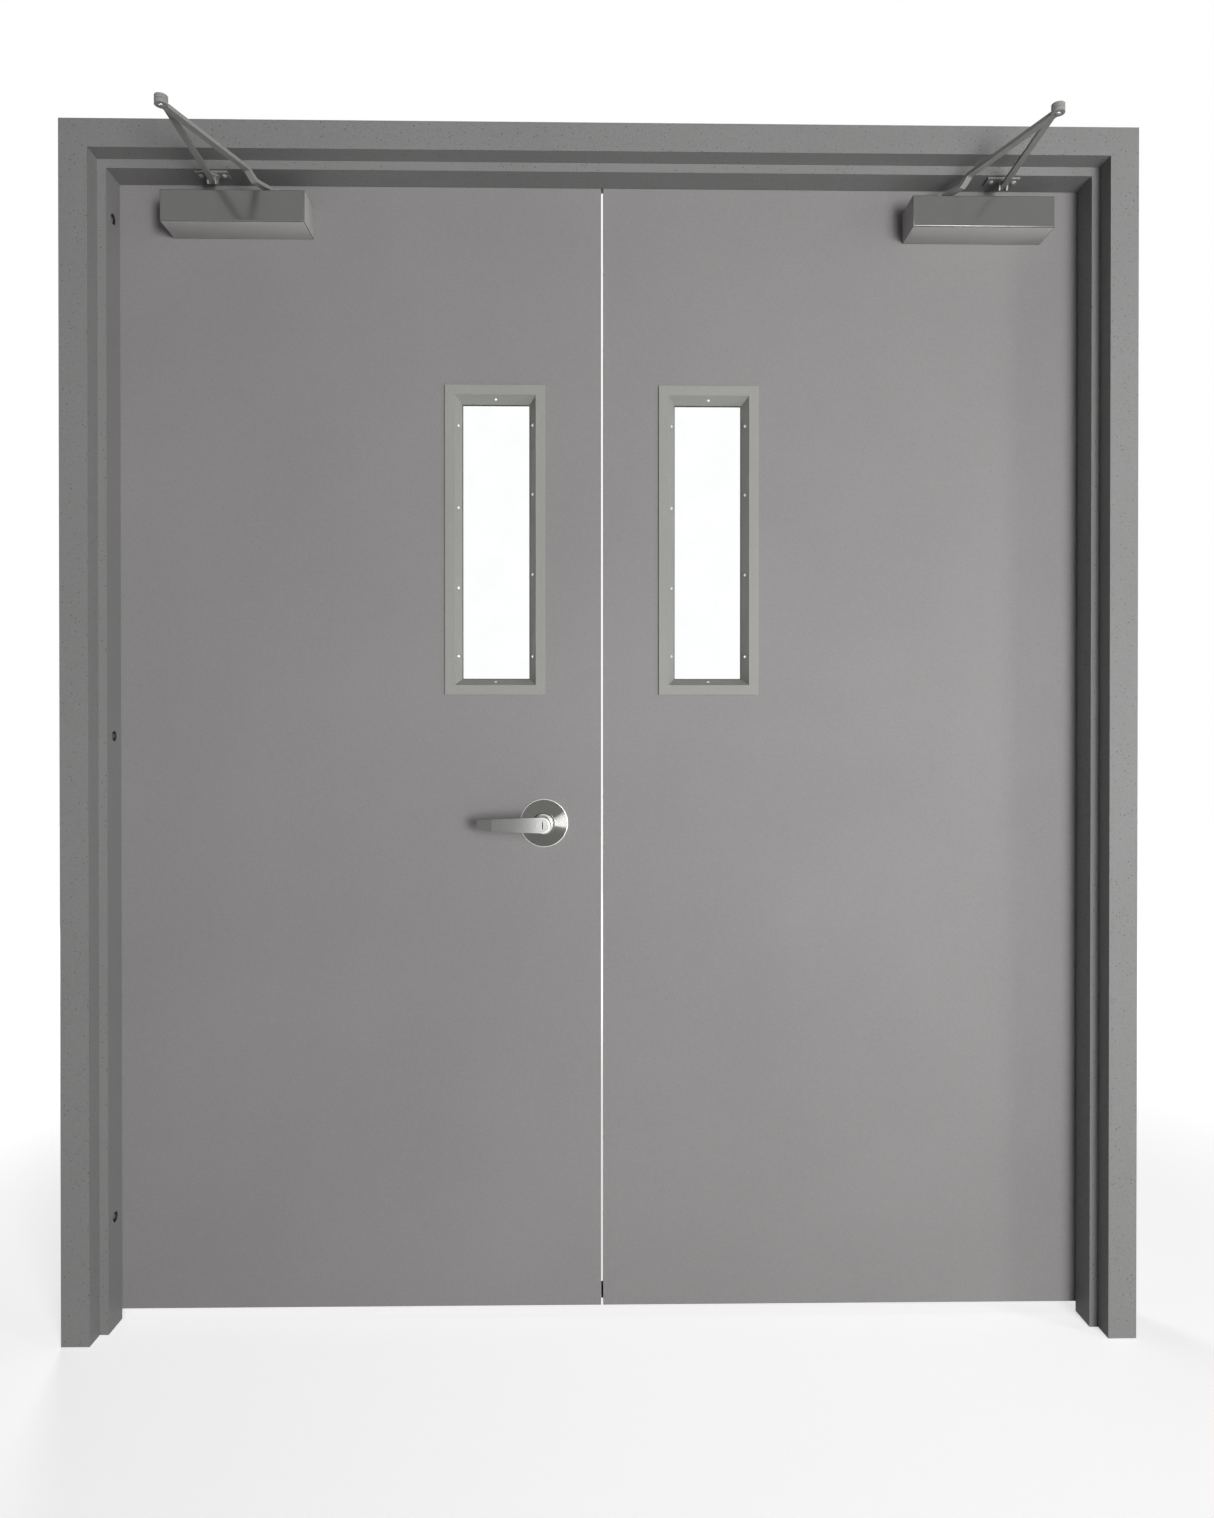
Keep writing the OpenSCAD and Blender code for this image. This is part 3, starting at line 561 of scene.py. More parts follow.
@dataclass(frozen=True)
class MattRubber:
    """Moulded rubber with a fine matt skin."""

    name: str
    light: Colour
    dark: Colour

    def make(self, effects: SharedEffects) -> bpy.types.Material:
        """Builds the material.

        Args:
            effects: The shared shader groups.

        Returns:
            The material.
        """
        c = Canvas(self.name)
        grain = c.group(effects.grain, Grain_Scale=1500.0, Drift_Scale=60.0)
        c.feed(c.blend(grain.outputs["Tone"], self.dark, self.light), "Base Color")
        c.feed(c.spread(grain.outputs["Tone"], 0.7, 0.9), "Roughness")
        c.fixed(Specular_IOR_Level=0.3)
        c.bump(grain.outputs["Height"], 0.0001)
        return c.material


@dataclass(frozen=True)
class ClearGlass:
    """Clear safety glass with a faint tint and wipe marks in its gloss."""

    name: str
    light: Colour
    dark: Colour

    def make(self, effects: SharedEffects) -> bpy.types.Material:
        """Builds the material.

        Args:
            effects: The shared shader groups.

        Returns:
            The material.
        """
        c = Canvas(self.name)
        patches = c.group(effects.handled, Scale=14.0, Amount=1.0)
        c.feed(c.blend(patches.outputs["Mask"], self.light, self.dark), "Base Color")
        c.feed(c.spread(patches.outputs["Mask"], 0.0, 0.03, 0.0, 1.0), "Roughness")
        c.fixed(Metallic=0.0, Transmission_Weight=1.0, IOR=1.45)
        return c.material


class Finishes:
    """Every finish of the door, made once, by the record's slot."""

    def __init__(self) -> None:
        """Builds the materials."""
        effects = SharedEffects()
        finishes = {
            "frame_paint": SprayedPaint(
                "speckled_frame_paint", (0.242, 0.242, 0.24), (0.208, 0.208, 0.206), 0.54, 420.0, 0.00005,
                speck=(0.11, 0.11, 0.11), speck_scale=140.0, speck_size=0.3, specular=0.15,
            ),
            "leaf_paint": SprayedPaint(
                "warm_grey_leaf_paint", (0.272, 0.261, 0.262), (0.232, 0.222, 0.223), 0.56, 650.0, 0.00004,
                specular=0.22,
            ),
            "trim_paint": SprayedPaint(
                "pale_trim_paint", (0.33, 0.332, 0.312), (0.29, 0.292, 0.275), 0.5, 700.0, 0.00004, specular=0.12,
            ),
            "closer_metal": BrushedMetal(
                "satin_closer_cover", (0.142, 0.143, 0.138), (0.126, 0.127, 0.122), 0.15, (1.0, 30.0, 30.0), 30.0, 0.000002,
                metal=0.45,
            ),
            "arm_steel": SprayedPaint(
                "silver_arm_paint", (0.28, 0.278, 0.272), (0.245, 0.243, 0.238), 0.4, 600.0, 0.00003,
                specular=0.45,
            ),
            "lock_steel": BrushedMetal(
                "satin_lock_steel", (0.27, 0.27, 0.262), (0.225, 0.225, 0.218), 0.22, (2.0, 20.0, 20.0), 50.0, 0.000003,
                wear=0.04,
            ),
            "hinge_steel": BrushedMetal(
                "satin_hinge_steel", (0.42, 0.42, 0.41), (0.34, 0.34, 0.33), 0.3, (20.0, 20.0, 2.0), 60.0, 0.000006,
            ),
            "chassis_steel": MilledSteel("plated_chassis", (0.42, 0.41, 0.38), (0.3, 0.29, 0.27)),
            "anchor_steel": MilledSteel("zinc_anchor_steel", (0.4, 0.4, 0.4), (0.26, 0.26, 0.265)),
            "core_paper": KraftHoneycomb("kraft_honeycomb", (0.52, 0.4, 0.26), (0.2, 0.14, 0.08)),
            "rubber": MattRubber("matt_rubber", (0.03, 0.03, 0.03), (0.018, 0.018, 0.018)),
            "glass": ClearGlass("clear_safety_glass", (0.99, 1.0, 0.995), (0.975, 0.99, 0.985)),
        }
        details = {
            Detail.LEVER: BrushedMetal(
                "crowned_lever_steel", (0.168, 0.168, 0.163), (0.152, 0.152, 0.147), 0.3, (2.0, 20.0, 20.0), 50.0, 0.0000015,
                wear=0.04, crown=2.1, crown_x=0.766,
            ),
            Detail.ROSE: BrushedMetal(
                "dark_satin_rose", (0.15, 0.15, 0.142), (0.13, 0.13, 0.123), 0.14, (8.0, 8.0, 8.0), 40.0, 0.0000002,
                wear=0.02,
            ),
            Detail.CYLINDER: BrushedMetal(
                "bright_nickel_cylinder", (0.56, 0.56, 0.545), (0.5, 0.5, 0.487), 0.2, (20.0, 20.0, 3.0), 60.0, 0.000002,
            ),
            Detail.SCREW: BrushedMetal(
                "bright_screw_zinc", (0.8, 0.8, 0.79), (0.66, 0.66, 0.65), 0.28, (6.0, 6.0, 6.0), 80.0, 0.000004,
            ),
            Detail.PALE_SCREW: SprayedPaint(
                "pale_bracket_screws", (0.42, 0.42, 0.41), (0.36, 0.36, 0.353), 0.5, 900.0, 0.00002, specular=0.5,
            ),
            # partly painted light: pale paint for the cover's underside and end plates, in place of the floor's light
            # that they catch
            Detail.COVER_PLATES_AND_PAINTED_LIGHT: SprayedPaint(
                "pale_cover_plates_painted_floor_light", (0.45, 0.44, 0.435), (0.4, 0.39, 0.386), 0.5, 700.0, 0.00003,
            ),
            Detail.TAPE: MattRubber("dark_glazing_tape", (0.06, 0.06, 0.058), (0.035, 0.035, 0.034)),
            # painted shade: near-black finish for the bolt dimples and the key slot, in place of the shade inside them
            Detail.PAINTED_HOLE_SHADE: MilledSteel("hole_shade_black_finish", (0.05, 0.05, 0.05), (0.03, 0.03, 0.03)),
        }
        self.by_slot = {slot: finish.make(effects) for slot, finish in finishes.items()}
        self.by_detail = {detail: finish.make(effects) for detail, finish in details.items()}
        self.slot_of = {entry["node"]: entry["material_slot"] for entry in frame["record"]["subparts"]}

    def dress_node(self, node: str) -> None:
        """Puts a CAD node's finish on its material slots.

        Args:
            node: Name of the node.
        """
        material = self.by_slot[self.slot_of[node]]
        data = frame["nodes"][node].data
        if not data.materials:
            data.materials.append(material)
        for index in range(len(data.materials)):
            data.materials[index] = material


# Mesh helpers


def new_piece(name: str, data: bpy.types.Mesh) -> bpy.types.Object:
    """Makes an object at the origin for a finished mesh.

    Args:
        name: Name of the piece.
        data: Its mesh, in the row frame.

    Returns:
        The object, linked to the scene.
    """
    piece = bpy.data.objects.new(name, data)
    bpy.context.scene.collection.objects.link(piece)
    return piece


def settled(piece: bpy.types.Object) -> bpy.types.Object:
    """Turns a piece's modifiers into plain mesh and removes them.

    Args:
        piece: The object with its modifiers.

    Returns:
        The same object.
    """
    graph = bpy.context.evaluated_depsgraph_get()
    plain = bpy.data.meshes.new_from_object(piece.evaluated_get(graph))
    piece.modifiers.clear()
    old = piece.data
    plain.name = piece.name
    piece.data = plain
    bpy.data.meshes.remove(old)
    return piece


def widen(shell: bmesh.types.BMesh, extra: float, least: float = 0.025) -> None:
    """Moves the long upright sides of a flat bar outwards.

    Args:
        shell: The bar's mesh, with its triangles merged into faces.
        extra: How far each side moves, in metres.
        least: Least length of a side that moves, in metres.
    """
    shell.normal_update()
    moves: dict[bmesh.types.BMVert, Vector] = {}
    for face in shell.faces:
        if abs(face.normal.z) < 0.2 and max(edge.calc_length() for edge in face.edges) > least:
            for vert in face.verts:
                moves.setdefault(vert, face.normal * extra)
    for vert, move in moves.items():
        vert.co += move


def rounded_copy(
    name: str, nodes: Sequence[str], width: float, steps: int = 3, angle: float = 28.0, extra: float = 0.0
) -> bpy.types.Object:
    """Copies CAD nodes, merges their triangles into faces and rounds their edges.

    Args:
        name: Name of the new piece.
        nodes: The nodes that it stands for.
        width: Width of the rounding in metres.
        steps: Segments of the rounding.
        angle: Least angle in degrees between faces whose edge is rounded.
        extra: How far the long upright sides of a flat bar move outwards, in metres.

    Returns:
        The new piece, with plain mesh data.
    """
    shell = bmesh.new()
    for node in nodes:
        shell.from_mesh(frame["nodes"][node].data)
    bmesh.ops.remove_doubles(shell, verts=shell.verts, dist=0.00002)
    bmesh.ops.dissolve_degenerate(shell, edges=shell.edges, dist=0.00001)
    bmesh.ops.dissolve_limit(shell, angle_limit=math.radians(0.6), verts=shell.verts, edges=shell.edges)
    if extra:
        widen(shell, extra)
    data = bpy.data.meshes.new(name)
    shell.to_mesh(data)
    shell.free()
    data.shade_smooth()
    piece = new_piece(name, data)
    rounding = piece.modifiers.new("rounding", "BEVEL")
    rounding.width = width
    rounding.segments = steps
    rounding.limit_method = "ANGLE"
    rounding.angle_limit = math.radians(angle)
    rounding.use_clamp_overlap = True
    weighting = piece.modifiers.new("weighting", "WEIGHTED_NORMAL")
    weighting.mode = "FACE_AREA"
    weighting.weight = 100
    weighting.keep_sharp = True
    settled(piece)
    return piece


def turned(name: str, profile: Sequence[tuple[float, float]], foot: Vector, way: Vector, sides: int = 64) -> bpy.types.Object:
    """Turns a closed profile about an axis.

    Args:
        name: Name of the new piece.
        profile: Radius and height of each corner in millimetres, in order.
        foot: The point at height 0, in the row frame.
        way: Direction of the axis.
        sides: Number of steps round the axis.

    Returns:
        The new piece, with plain mesh data.
    """
    shell = bmesh.new()
    turn = way.to_track_quat("Z", "Y").to_matrix()
    rings = []
    for step in range(sides):
        angle = 2 * math.pi * step / sides
        rings.append(
            [
                shell.verts.new(foot + turn @ Vector((r * math.cos(angle), r * math.sin(angle), h)) / 1000)
                for r, h in profile
            ]
        )
    count = len(profile)
    for step, ring in enumerate(rings):
        following = rings[(step + 1) % sides]
        for index in range(count):
            after = (index + 1) % count
            shell.faces.new((ring[index], ring[after], following[after], following[index]))
    bmesh.ops.remove_doubles(shell, verts=shell.verts, dist=0.000001)
    bmesh.ops.recalc_face_normals(shell, faces=shell.faces)
    data = bpy.data.meshes.new(name)
    shell.to_mesh(data)
    shell.free()
    data.shade_smooth()
    data.set_sharp_from_angle(angle=math.radians(38))
    return new_piece(name, data)


def bars(name: str, boxes: Sequence[tuple[Vector, Vector]], width: float) -> bpy.types.Object:
    """Makes thin bars with rounded edges.

    Args:
        name: Name of the new piece.
        boxes: Lowest and highest corner of each bar, in the row frame.
        width: Width of the rounding in metres.

    Returns:
        The new piece, with plain mesh data.
    """
    shell = bmesh.new()
    for low, high in boxes:
        size = high - low
        place = Matrix.Translation((low + high) / 2) @ Matrix.Diagonal((*size, 1.0))
        bmesh.ops.create_cube(shell, size=1.0, matrix=place)
    bmesh.ops.bevel(shell, geom=shell.edges[:], offset=width, segments=2, profile=0.5, affect="EDGES", clamp_overlap=True)
    data = bpy.data.meshes.new(name)
    shell.to_mesh(data)
    shell.free()
    data.shade_smooth()
    data.set_sharp_from_angle(angle=math.radians(50))
    return new_piece(name, data)


# Fasteners


@dataclass(frozen=True)
class FastenerKind:
    """One kind of fastener head, with its sizes in millimetres."""

    name: str
    style: HeadStyle
    radius: float
    height: float
    recess: float = 0.0


class FastenerTree:
    """A Geometry Nodes tree that sets one head on every point of a mesh, along its aim."""

    def __init__(self, style: HeadStyle) -> None:
        """Builds the tree for a head style.

        Args:
            style: Shape of the head.
        """
        self.style = style
        self.tree = bpy.data.node_groups.new("fasteners_" + style.value, "GeometryNodeTree")
        face = self.tree.interface
        face.new_socket(name="Geometry", in_out="INPUT", socket_type="NodeSocketGeometry")
        for label, kind, value in (
            ("Head Radius", "NodeSocketFloat", 0.004),
            ("Head Height", "NodeSocketFloat", 0.002),
            ("Recess", "NodeSocketFloat", 0.003),
            ("Seed", "NodeSocketInt", 7),
            ("Finish", "NodeSocketMaterial", None),
        ):
            socket = face.new_socket(name=label, in_out="INPUT", socket_type=kind)
            if value is not None:
                socket.default_value = value
        face.new_socket(name="Geometry", in_out="OUTPUT", socket_type="NodeSocketGeometry")
        self.source = self.tree.nodes.new("NodeGroupInput")
        self.build()

    def link(self, a: bpy.types.NodeSocket, b: bpy.types.NodeSocket) -> None:
        """Links two sockets."""
        self.tree.links.new(a, b)

    def scaled(self, socket: bpy.types.NodeSocket, factor: float) -> bpy.types.NodeSocket:
        """Multiplies a socket by a constant and returns the product's socket."""
        node = add_node(self.tree, "ShaderNodeMath", operation="MULTIPLY")
        self.link(socket, node.inputs[0])
        node.inputs[1].default_value = factor
        return node.outputs[0]

    def vector(self, x: bpy.types.NodeSocket | None, y: bpy.types.NodeSocket | None, z: bpy.types.NodeSocket | None) -> bpy.types.NodeSocket:
        """Combines up to three sockets into a vector's socket."""
        node = self.tree.nodes.new("ShaderNodeCombineXYZ")
        for index, socket in enumerate((x, y, z)):
            if socket is not None:
                self.link(socket, node.inputs[index])
        return node.outputs[0]

    def cone(self, sides: int, low: bpy.types.NodeSocket, high: bpy.types.NodeSocket, depth: bpy.types.NodeSocket, lift: bpy.types.NodeSocket | None = None) -> bpy.types.NodeSocket:
        """Adds a truncated cone that stands on z = 0, or on a lifted level.

        Args:
            sides: Number of sides.
            low: Radius at its foot.
            high: Radius at its top.
            depth: Its height.
            lift: Height of its foot.

        Returns:
            The mesh's socket.
        """
        node = self.tree.nodes.new("GeometryNodeMeshCone")
        node.inputs["Vertices"].default_value = sides
        self.link(low, node.inputs["Radius Bottom"])
        self.link(high, node.inputs["Radius Top"])
        self.link(depth, node.inputs["Depth"])
        if lift is None:
            return node.outputs["Mesh"]
        move = self.tree.nodes.new("GeometryNodeTransform")
        self.link(node.outputs["Mesh"], move.inputs["Geometry"])
        self.link(self.vector(None, None, lift), move.inputs["Translation"])
        return move.outputs["Geometry"]

    def head(self) -> bpy.types.NodeSocket:
        """Builds one head and returns its socket."""
        radius = self.source.outputs["Head Radius"]
        height = self.source.outputs["Head Height"]
        join = self.tree.nodes.new("GeometryNodeJoinGeometry")
        if self.style is HeadStyle.HEX:
            self.link(self.cone(28, radius, radius, self.scaled(height, 0.22)), join.inputs[0])
            self.link(self.cone(6, self.scaled(radius, 0.86), self.scaled(radius, 0.86), self.scaled(height, 0.66), self.scaled(height, 0.22)), join.inputs[0])
            self.link(self.cone(6, self.scaled(radius, 0.86), self.scaled(radius, 0.74), self.scaled(height, 0.12), self.scaled(height, 0.88)), join.inputs[0])
            return join.outputs[0]
        if self.style is HeadStyle.DOME:
            self.link(self.cone(24, radius, self.scaled(radius, 0.92), self.scaled(height, 0.5)), join.inputs[0])
            self.link(self.cone(24, self.scaled(radius, 0.92), self.scaled(radius, 0.66), self.scaled(height, 0.32), self.scaled(height, 0.5)), join.inputs[0])
            self.link(self.cone(24, self.scaled(radius, 0.66), self.scaled(radius, 0.2), self.scaled(height, 0.18), self.scaled(height, 0.82)), join.inputs[0])
            return join.outputs[0]
        self.link(self.cone(24, radius, self.scaled(radius, 0.97), self.scaled(height, 0.45)), join.inputs[0])
        self.link(self.cone(24, self.scaled(radius, 0.97), self.scaled(radius, 0.72), self.scaled(height, 0.55), self.scaled(height, 0.45)), join.inputs[0])
        cut = self.tree.nodes.new("GeometryNodeMeshBoolean")
        cut.operation = "DIFFERENCE"
        self.link(join.outputs[0], cut.inputs["Mesh 1"])
        recess = self.source.outputs["Recess"]
        arms = self.tree.nodes.new("GeometryNodeJoinGeometry")
        for long_axis in (0, 1):
            block = self.tree.nodes.new("GeometryNodeMeshCube")
            sides = [self.scaled(recess, 0.26), self.scaled(recess, 0.26)]
            sides[long_axis] = recess
            self.link(self.vector(sides[0], sides[1], self.scaled(height, 1.1)), block.inputs["Size"])
            move = self.tree.nodes.new("GeometryNodeTransform")
            self.link(block.outputs["Mesh"], move.inputs["Geometry"])
            self.link(self.vector(None, None, height), move.inputs["Translation"])
            self.link(move.outputs["Geometry"], cut.inputs["Mesh 2"] if long_axis else arms.inputs[0])
        self.link(arms.outputs[0], cut.inputs["Mesh 2"])
        return cut.outputs["Mesh"]

    def build(self) -> None:
        """Places the head on every point, turned along its aim and by a fixed random angle."""
        target = self.tree.nodes.new("NodeGroupOutput")
        spots = self.tree.nodes.new("GeometryNodeInstanceOnPoints")
        self.link(self.source.outputs["Geometry"], spots.inputs["Points"])
        self.link(self.head(), spots.inputs["Instance"])
        aim = add_node(self.tree, "GeometryNodeInputNamedAttribute", data_type="FLOAT_VECTOR")
        aim.inputs["Name"].default_value = "aim"
        turn = add_node(self.tree, "FunctionNodeRandomValue", data_type="FLOAT")
        turn.inputs[2].default_value = 0.0
        turn.inputs[3].default_value = math.pi
        self.link(self.source.outputs["Seed"], turn.inputs["Seed"])
        spin = self.tree.nodes.new("FunctionNodeAxisAngleToRotation")
        spin.inputs["Axis"].default_value = (0.0, 0.0, 1.0)
        self.link(turn.outputs[1], spin.inputs["Angle"])
        align = add_node(self.tree, "FunctionNodeAlignRotationToVector", axis="Z")
        self.link(spin.outputs[0], align.inputs["Rotation"])
        self.link(aim.outputs["Attribute"], align.inputs["Vector"])
        self.link(align.outputs[0], spots.inputs["Rotation"])
        real = self.tree.nodes.new("GeometryNodeRealizeInstances")
        self.link(spots.outputs[0], real.inputs[0])
        paint = self.tree.nodes.new("GeometryNodeSetMaterial")
        self.link(real.outputs[0], paint.inputs["Geometry"])
        self.link(self.source.outputs["Finish"], paint.inputs["Material"])
        self.link(paint.outputs[0], target.inputs[0])

    def socket_id(self, label: str) -> str:
        """Returns the identifier of the input with that name."""
        for item in self.tree.interface.items_tree:
            if item.in_out == "INPUT" and item.name == label:
                return item.identifier
        raise KeyError(label)


class Fasteners:
    """Makes screws, bolts and rivets with the Geometry Nodes trees."""

    def __init__(self, finishes: Finishes) -> None:
        """Builds one tree for each head style.

        Args:
            finishes: The door's finishes.
        """
        self.finishes = finishes
        self.trees = {style: FastenerTree(style) for style in HeadStyle}

    def place(
        self,
        name: str,
        kind: FastenerKind,
        spots: Iterable[tuple[Vector, Vector]],
        body: str,
        slot: str,
        seed: int = 7,
        detail: Detail | None = None,
    ) -> bpy.types.Object:
        """Sets heads at spots and makes them one plain mesh on a body.

        Args:
            name: Name of the piece.
            kind: Kind of fastener.
            spots: Foot of each head and the way that it points.
            body: The CAD body that they ride on.
            slot: The record's slot of their finish.
            seed: Seed of the heads' turns.
            detail: A finish of its own, if it has one.

        Returns:
            The piece.
        """
        places = list(spots)
        data = bpy.data.meshes.new(name)
        data.from_pydata([p for p, _ in places], [], [])
        aim = data.attributes.new("aim", "FLOAT_VECTOR", "POINT")
        for index, (_, way) in enumerate(places):
            aim.data[index].vector = way.normalized()
        piece = new_piece(name, data)
        tree = self.trees[kind.style]
        modifier = piece.modifiers.new("heads", "NODES")
        modifier.node_group = tree.tree
        material = self.finishes.by_slot[slot] if detail is None else self.finishes.by_detail[detail]
        for label, value in (
            ("Head Radius", kind.radius / 1000),
            ("Head Height", kind.height / 1000),
            ("Recess", kind.recess / 1000),
            ("Seed", seed),
            ("Finish", material),
        ):
            modifier[tree.socket_id(label)] = value
        settled(piece)
        piece.data.shade_smooth()
        piece.data.set_sharp_from_angle(angle=math.radians(35))
        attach(piece, body)
        log.info("%s: %d heads, %d faces, on %s", name, len(places), len(piece.data.polygons), body)
        return piece


# Sub-assemblies


@dataclass
class Assembly:
    """What every sub-assembly of the door shares."""

    finishes: Finishes
    fasteners: Fasteners

    def finish_nodes(self, nodes: Iterable[str]) -> None:
        """Dresses CAD nodes with their finishes.

        Args:
            nodes: Names of the nodes.
        """
        for node in nodes:
            self.finishes.dress_node(node)
            log.info("%s: finish %s", node, self.finishes.slot_of[node])

    def dress(self, piece: bpy.types.Object, body: str, slot: str, detail: Detail | None = None) -> bpy.types.Object:
        """Gives a new piece its body and finish.

        Args:
            piece: The piece.
            body: The CAD body that it rides on.
            slot: The record's slot that its finish belongs to.
            detail: A finish of its own, if it has one.

        Returns:
            The piece.
        """
        piece.data.materials.clear()
        piece.data.materials.append(self.finishes.by_slot[slot] if detail is None else self.finishes.by_detail[detail])
        for polygon in piece.data.polygons:
            polygon.material_index = 0
        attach(piece, body)
        log.info("%s: %d faces, on %s", piece.name, len(piece.data.polygons), body)
        return piece

    def soften(
        self,
        node: str,
        width: float,
        steps: int = 3,
        angle: float = 28.0,
        detail: Detail | None = None,
        extra: float = 0.0,
    ) -> bpy.types.Object:
        """Replaces a CAD node by a copy with rounded edges.

        Args:
            node: Name of the node.
            width: Width of the rounding in millimetres.
            steps: Segments of the rounding.
            angle: Least angle in degrees between faces whose edge is rounded.
            detail: A finish of its own, if it has one.
            extra: How far the long upright sides of a flat bar move outwards, in millimetres.

        Returns:
            The new piece.
        """
        slot = self.finishes.slot_of[node]
        piece = rounded_copy(node + "_rounded", [node], width / 1000, steps, angle, extra / 1000)
        body = next(b for b, nodes in frame["record"]["behaviour"]["bodies"].items() if node in nodes)
        self.dress(piece, body, slot, detail)
        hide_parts(node)
        return piece

    def refinish(self, piece: bpy.types.Object, detail: Detail, chosen: Callable[[Vector], bool]) -> None:
        """Gives some faces of a piece another finish.

        Args:
            piece: The piece.
            detail: The other finish.
            chosen: Tells by a face's middle whether the face gets it.
        """
        piece.data.materials.append(self.finishes.by_detail[detail])
        index = len(piece.data.materials) - 1
        for polygon in piece.data.polygons:
            if chosen(polygon.center):
                polygon.material_index = index


@dataclass
class WeldedFrame(Assembly):
    """Jambs, head, anchors, silencers, brackets and the hinge leaves on the jambs."""

    bracket_screw: FastenerKind = FastenerKind("bracket_screw", HeadStyle.CROSS, 4.6, 2.2, 4.6)
    hinge_screw: FastenerKind = FastenerKind("hinge_screw", HeadStyle.CROSS, 4.8, 0.35, 4.4)
    bracket_screw_x: float = 21.0
    bracket_y: float = 57.0
    bracket_at_x: tuple[float, float] = (712.0, 739.0)
    hinge_rows_y: tuple[float, float] = (114.0, 131.0)
    anchor_z: tuple[float, float, float] = (203.5, 1090.0, 2039.0)
    soffit_x: float = -898.5
    soffit_y: float = 68.275
    # profile of the near-black liner in each anchor bolt's dimple, a sheet of painted shade
    hole_shade_liner_profile: tuple[tuple[float, float], ...] = (
        (9.9, -0.03), (9.3, 0.06), (6.55, 2.78), (5.15, 2.82), (5.15, 2.98), (6.75, 2.98), (9.6, 0.12),
    )

    def build(self) -> None:
        """Dresses the frame, adds its screws and lines each anchor bolt's dimple with a near-black sheet that paints in
        the shade of the hole.
        """
        self.finish_nodes(
            [
                "left_jamb", "right_jamb", "head", "left_floor_anchor", "right_floor_anchor",
                "left_wall_anchors", "right_wall_anchors", "silencers",
            ]
        )
        for side in Side:
            self.soften(side.word + "_frame_hinges", 0.4, 2)
            self.soften(side.word + "_soffit_bracket", 0.5, 2)
        self.fasteners.place("bracket_screws", self.bracket_screw, self.bracket_spots(), "frame", "arm_steel", 3, Detail.PALE_SCREW)
        self.fasteners.place("frame_hinge_screws", self.hinge_screw, self.hinge_spots(), "frame", "hinge_steel", 5)
        for index, z in enumerate(self.anchor_z):
            foot = at(self.soffit_x, self.soffit_y, z)
            # a near-black liner paints the shade inside the bolt hole's dimple
            hole_shade_liner = turned(f"bolt_hole_shade_liner_{index + 1}", self.hole_shade_liner_profile, foot, Vector((-1, 0, 0)), 48)
            self.dress(hole_shade_liner, "frame", "anchor_steel", Detail.PAINTED_HOLE_SHADE)

    def bracket_spots(self) -> list[tuple[Vector, Vector]]:
        """Returns the two screws under each soffit bracket's plate."""
        spots = []
        for side, x in zip(Side, self.bracket_at_x):
            for step in (-1, 1):
                spots.append((at(side.value * x + step * self.bracket_screw_x, self.bracket_y, PLATE_Z), Vector((0, 0, -1))))
        return spots

    def hinge_spots(self) -> list[tuple[Vector, Vector]]:
        """Returns the screws of the hinge leaves on both jambs."""
        return hinge_screws(OPENING_HALF, self.hinge_rows_y, -1)


def hinge_screws(x: float, rows_y: tuple[float, float], facing: int) -> list[tuple[Vector, Vector]]:
    """Places four staggered screws on each hinge leaf of both sides.

    Args:
        x: Distance of the hinge leaves' faces from the middle of the doorway.
        rows_y: Depth of the two rows.
        facing: -1 where the screws point towards the middle, 1 away from it.

    Returns:
        Foot and aim of each head.
    """
    spots = []
    for side in Side:
        for centre in (311.15, 1130.3, 1949.45):
            for index, z in enumerate((-43.0, -16.0, 16.0, 43.0)):
                y = rows_y[1 - index % 2] if index < 2 else rows_y[index % 2]
                spots.append((at(side.value * x, y, centre + z), Vector((side.value * facing, 0, 0))))
    return spots


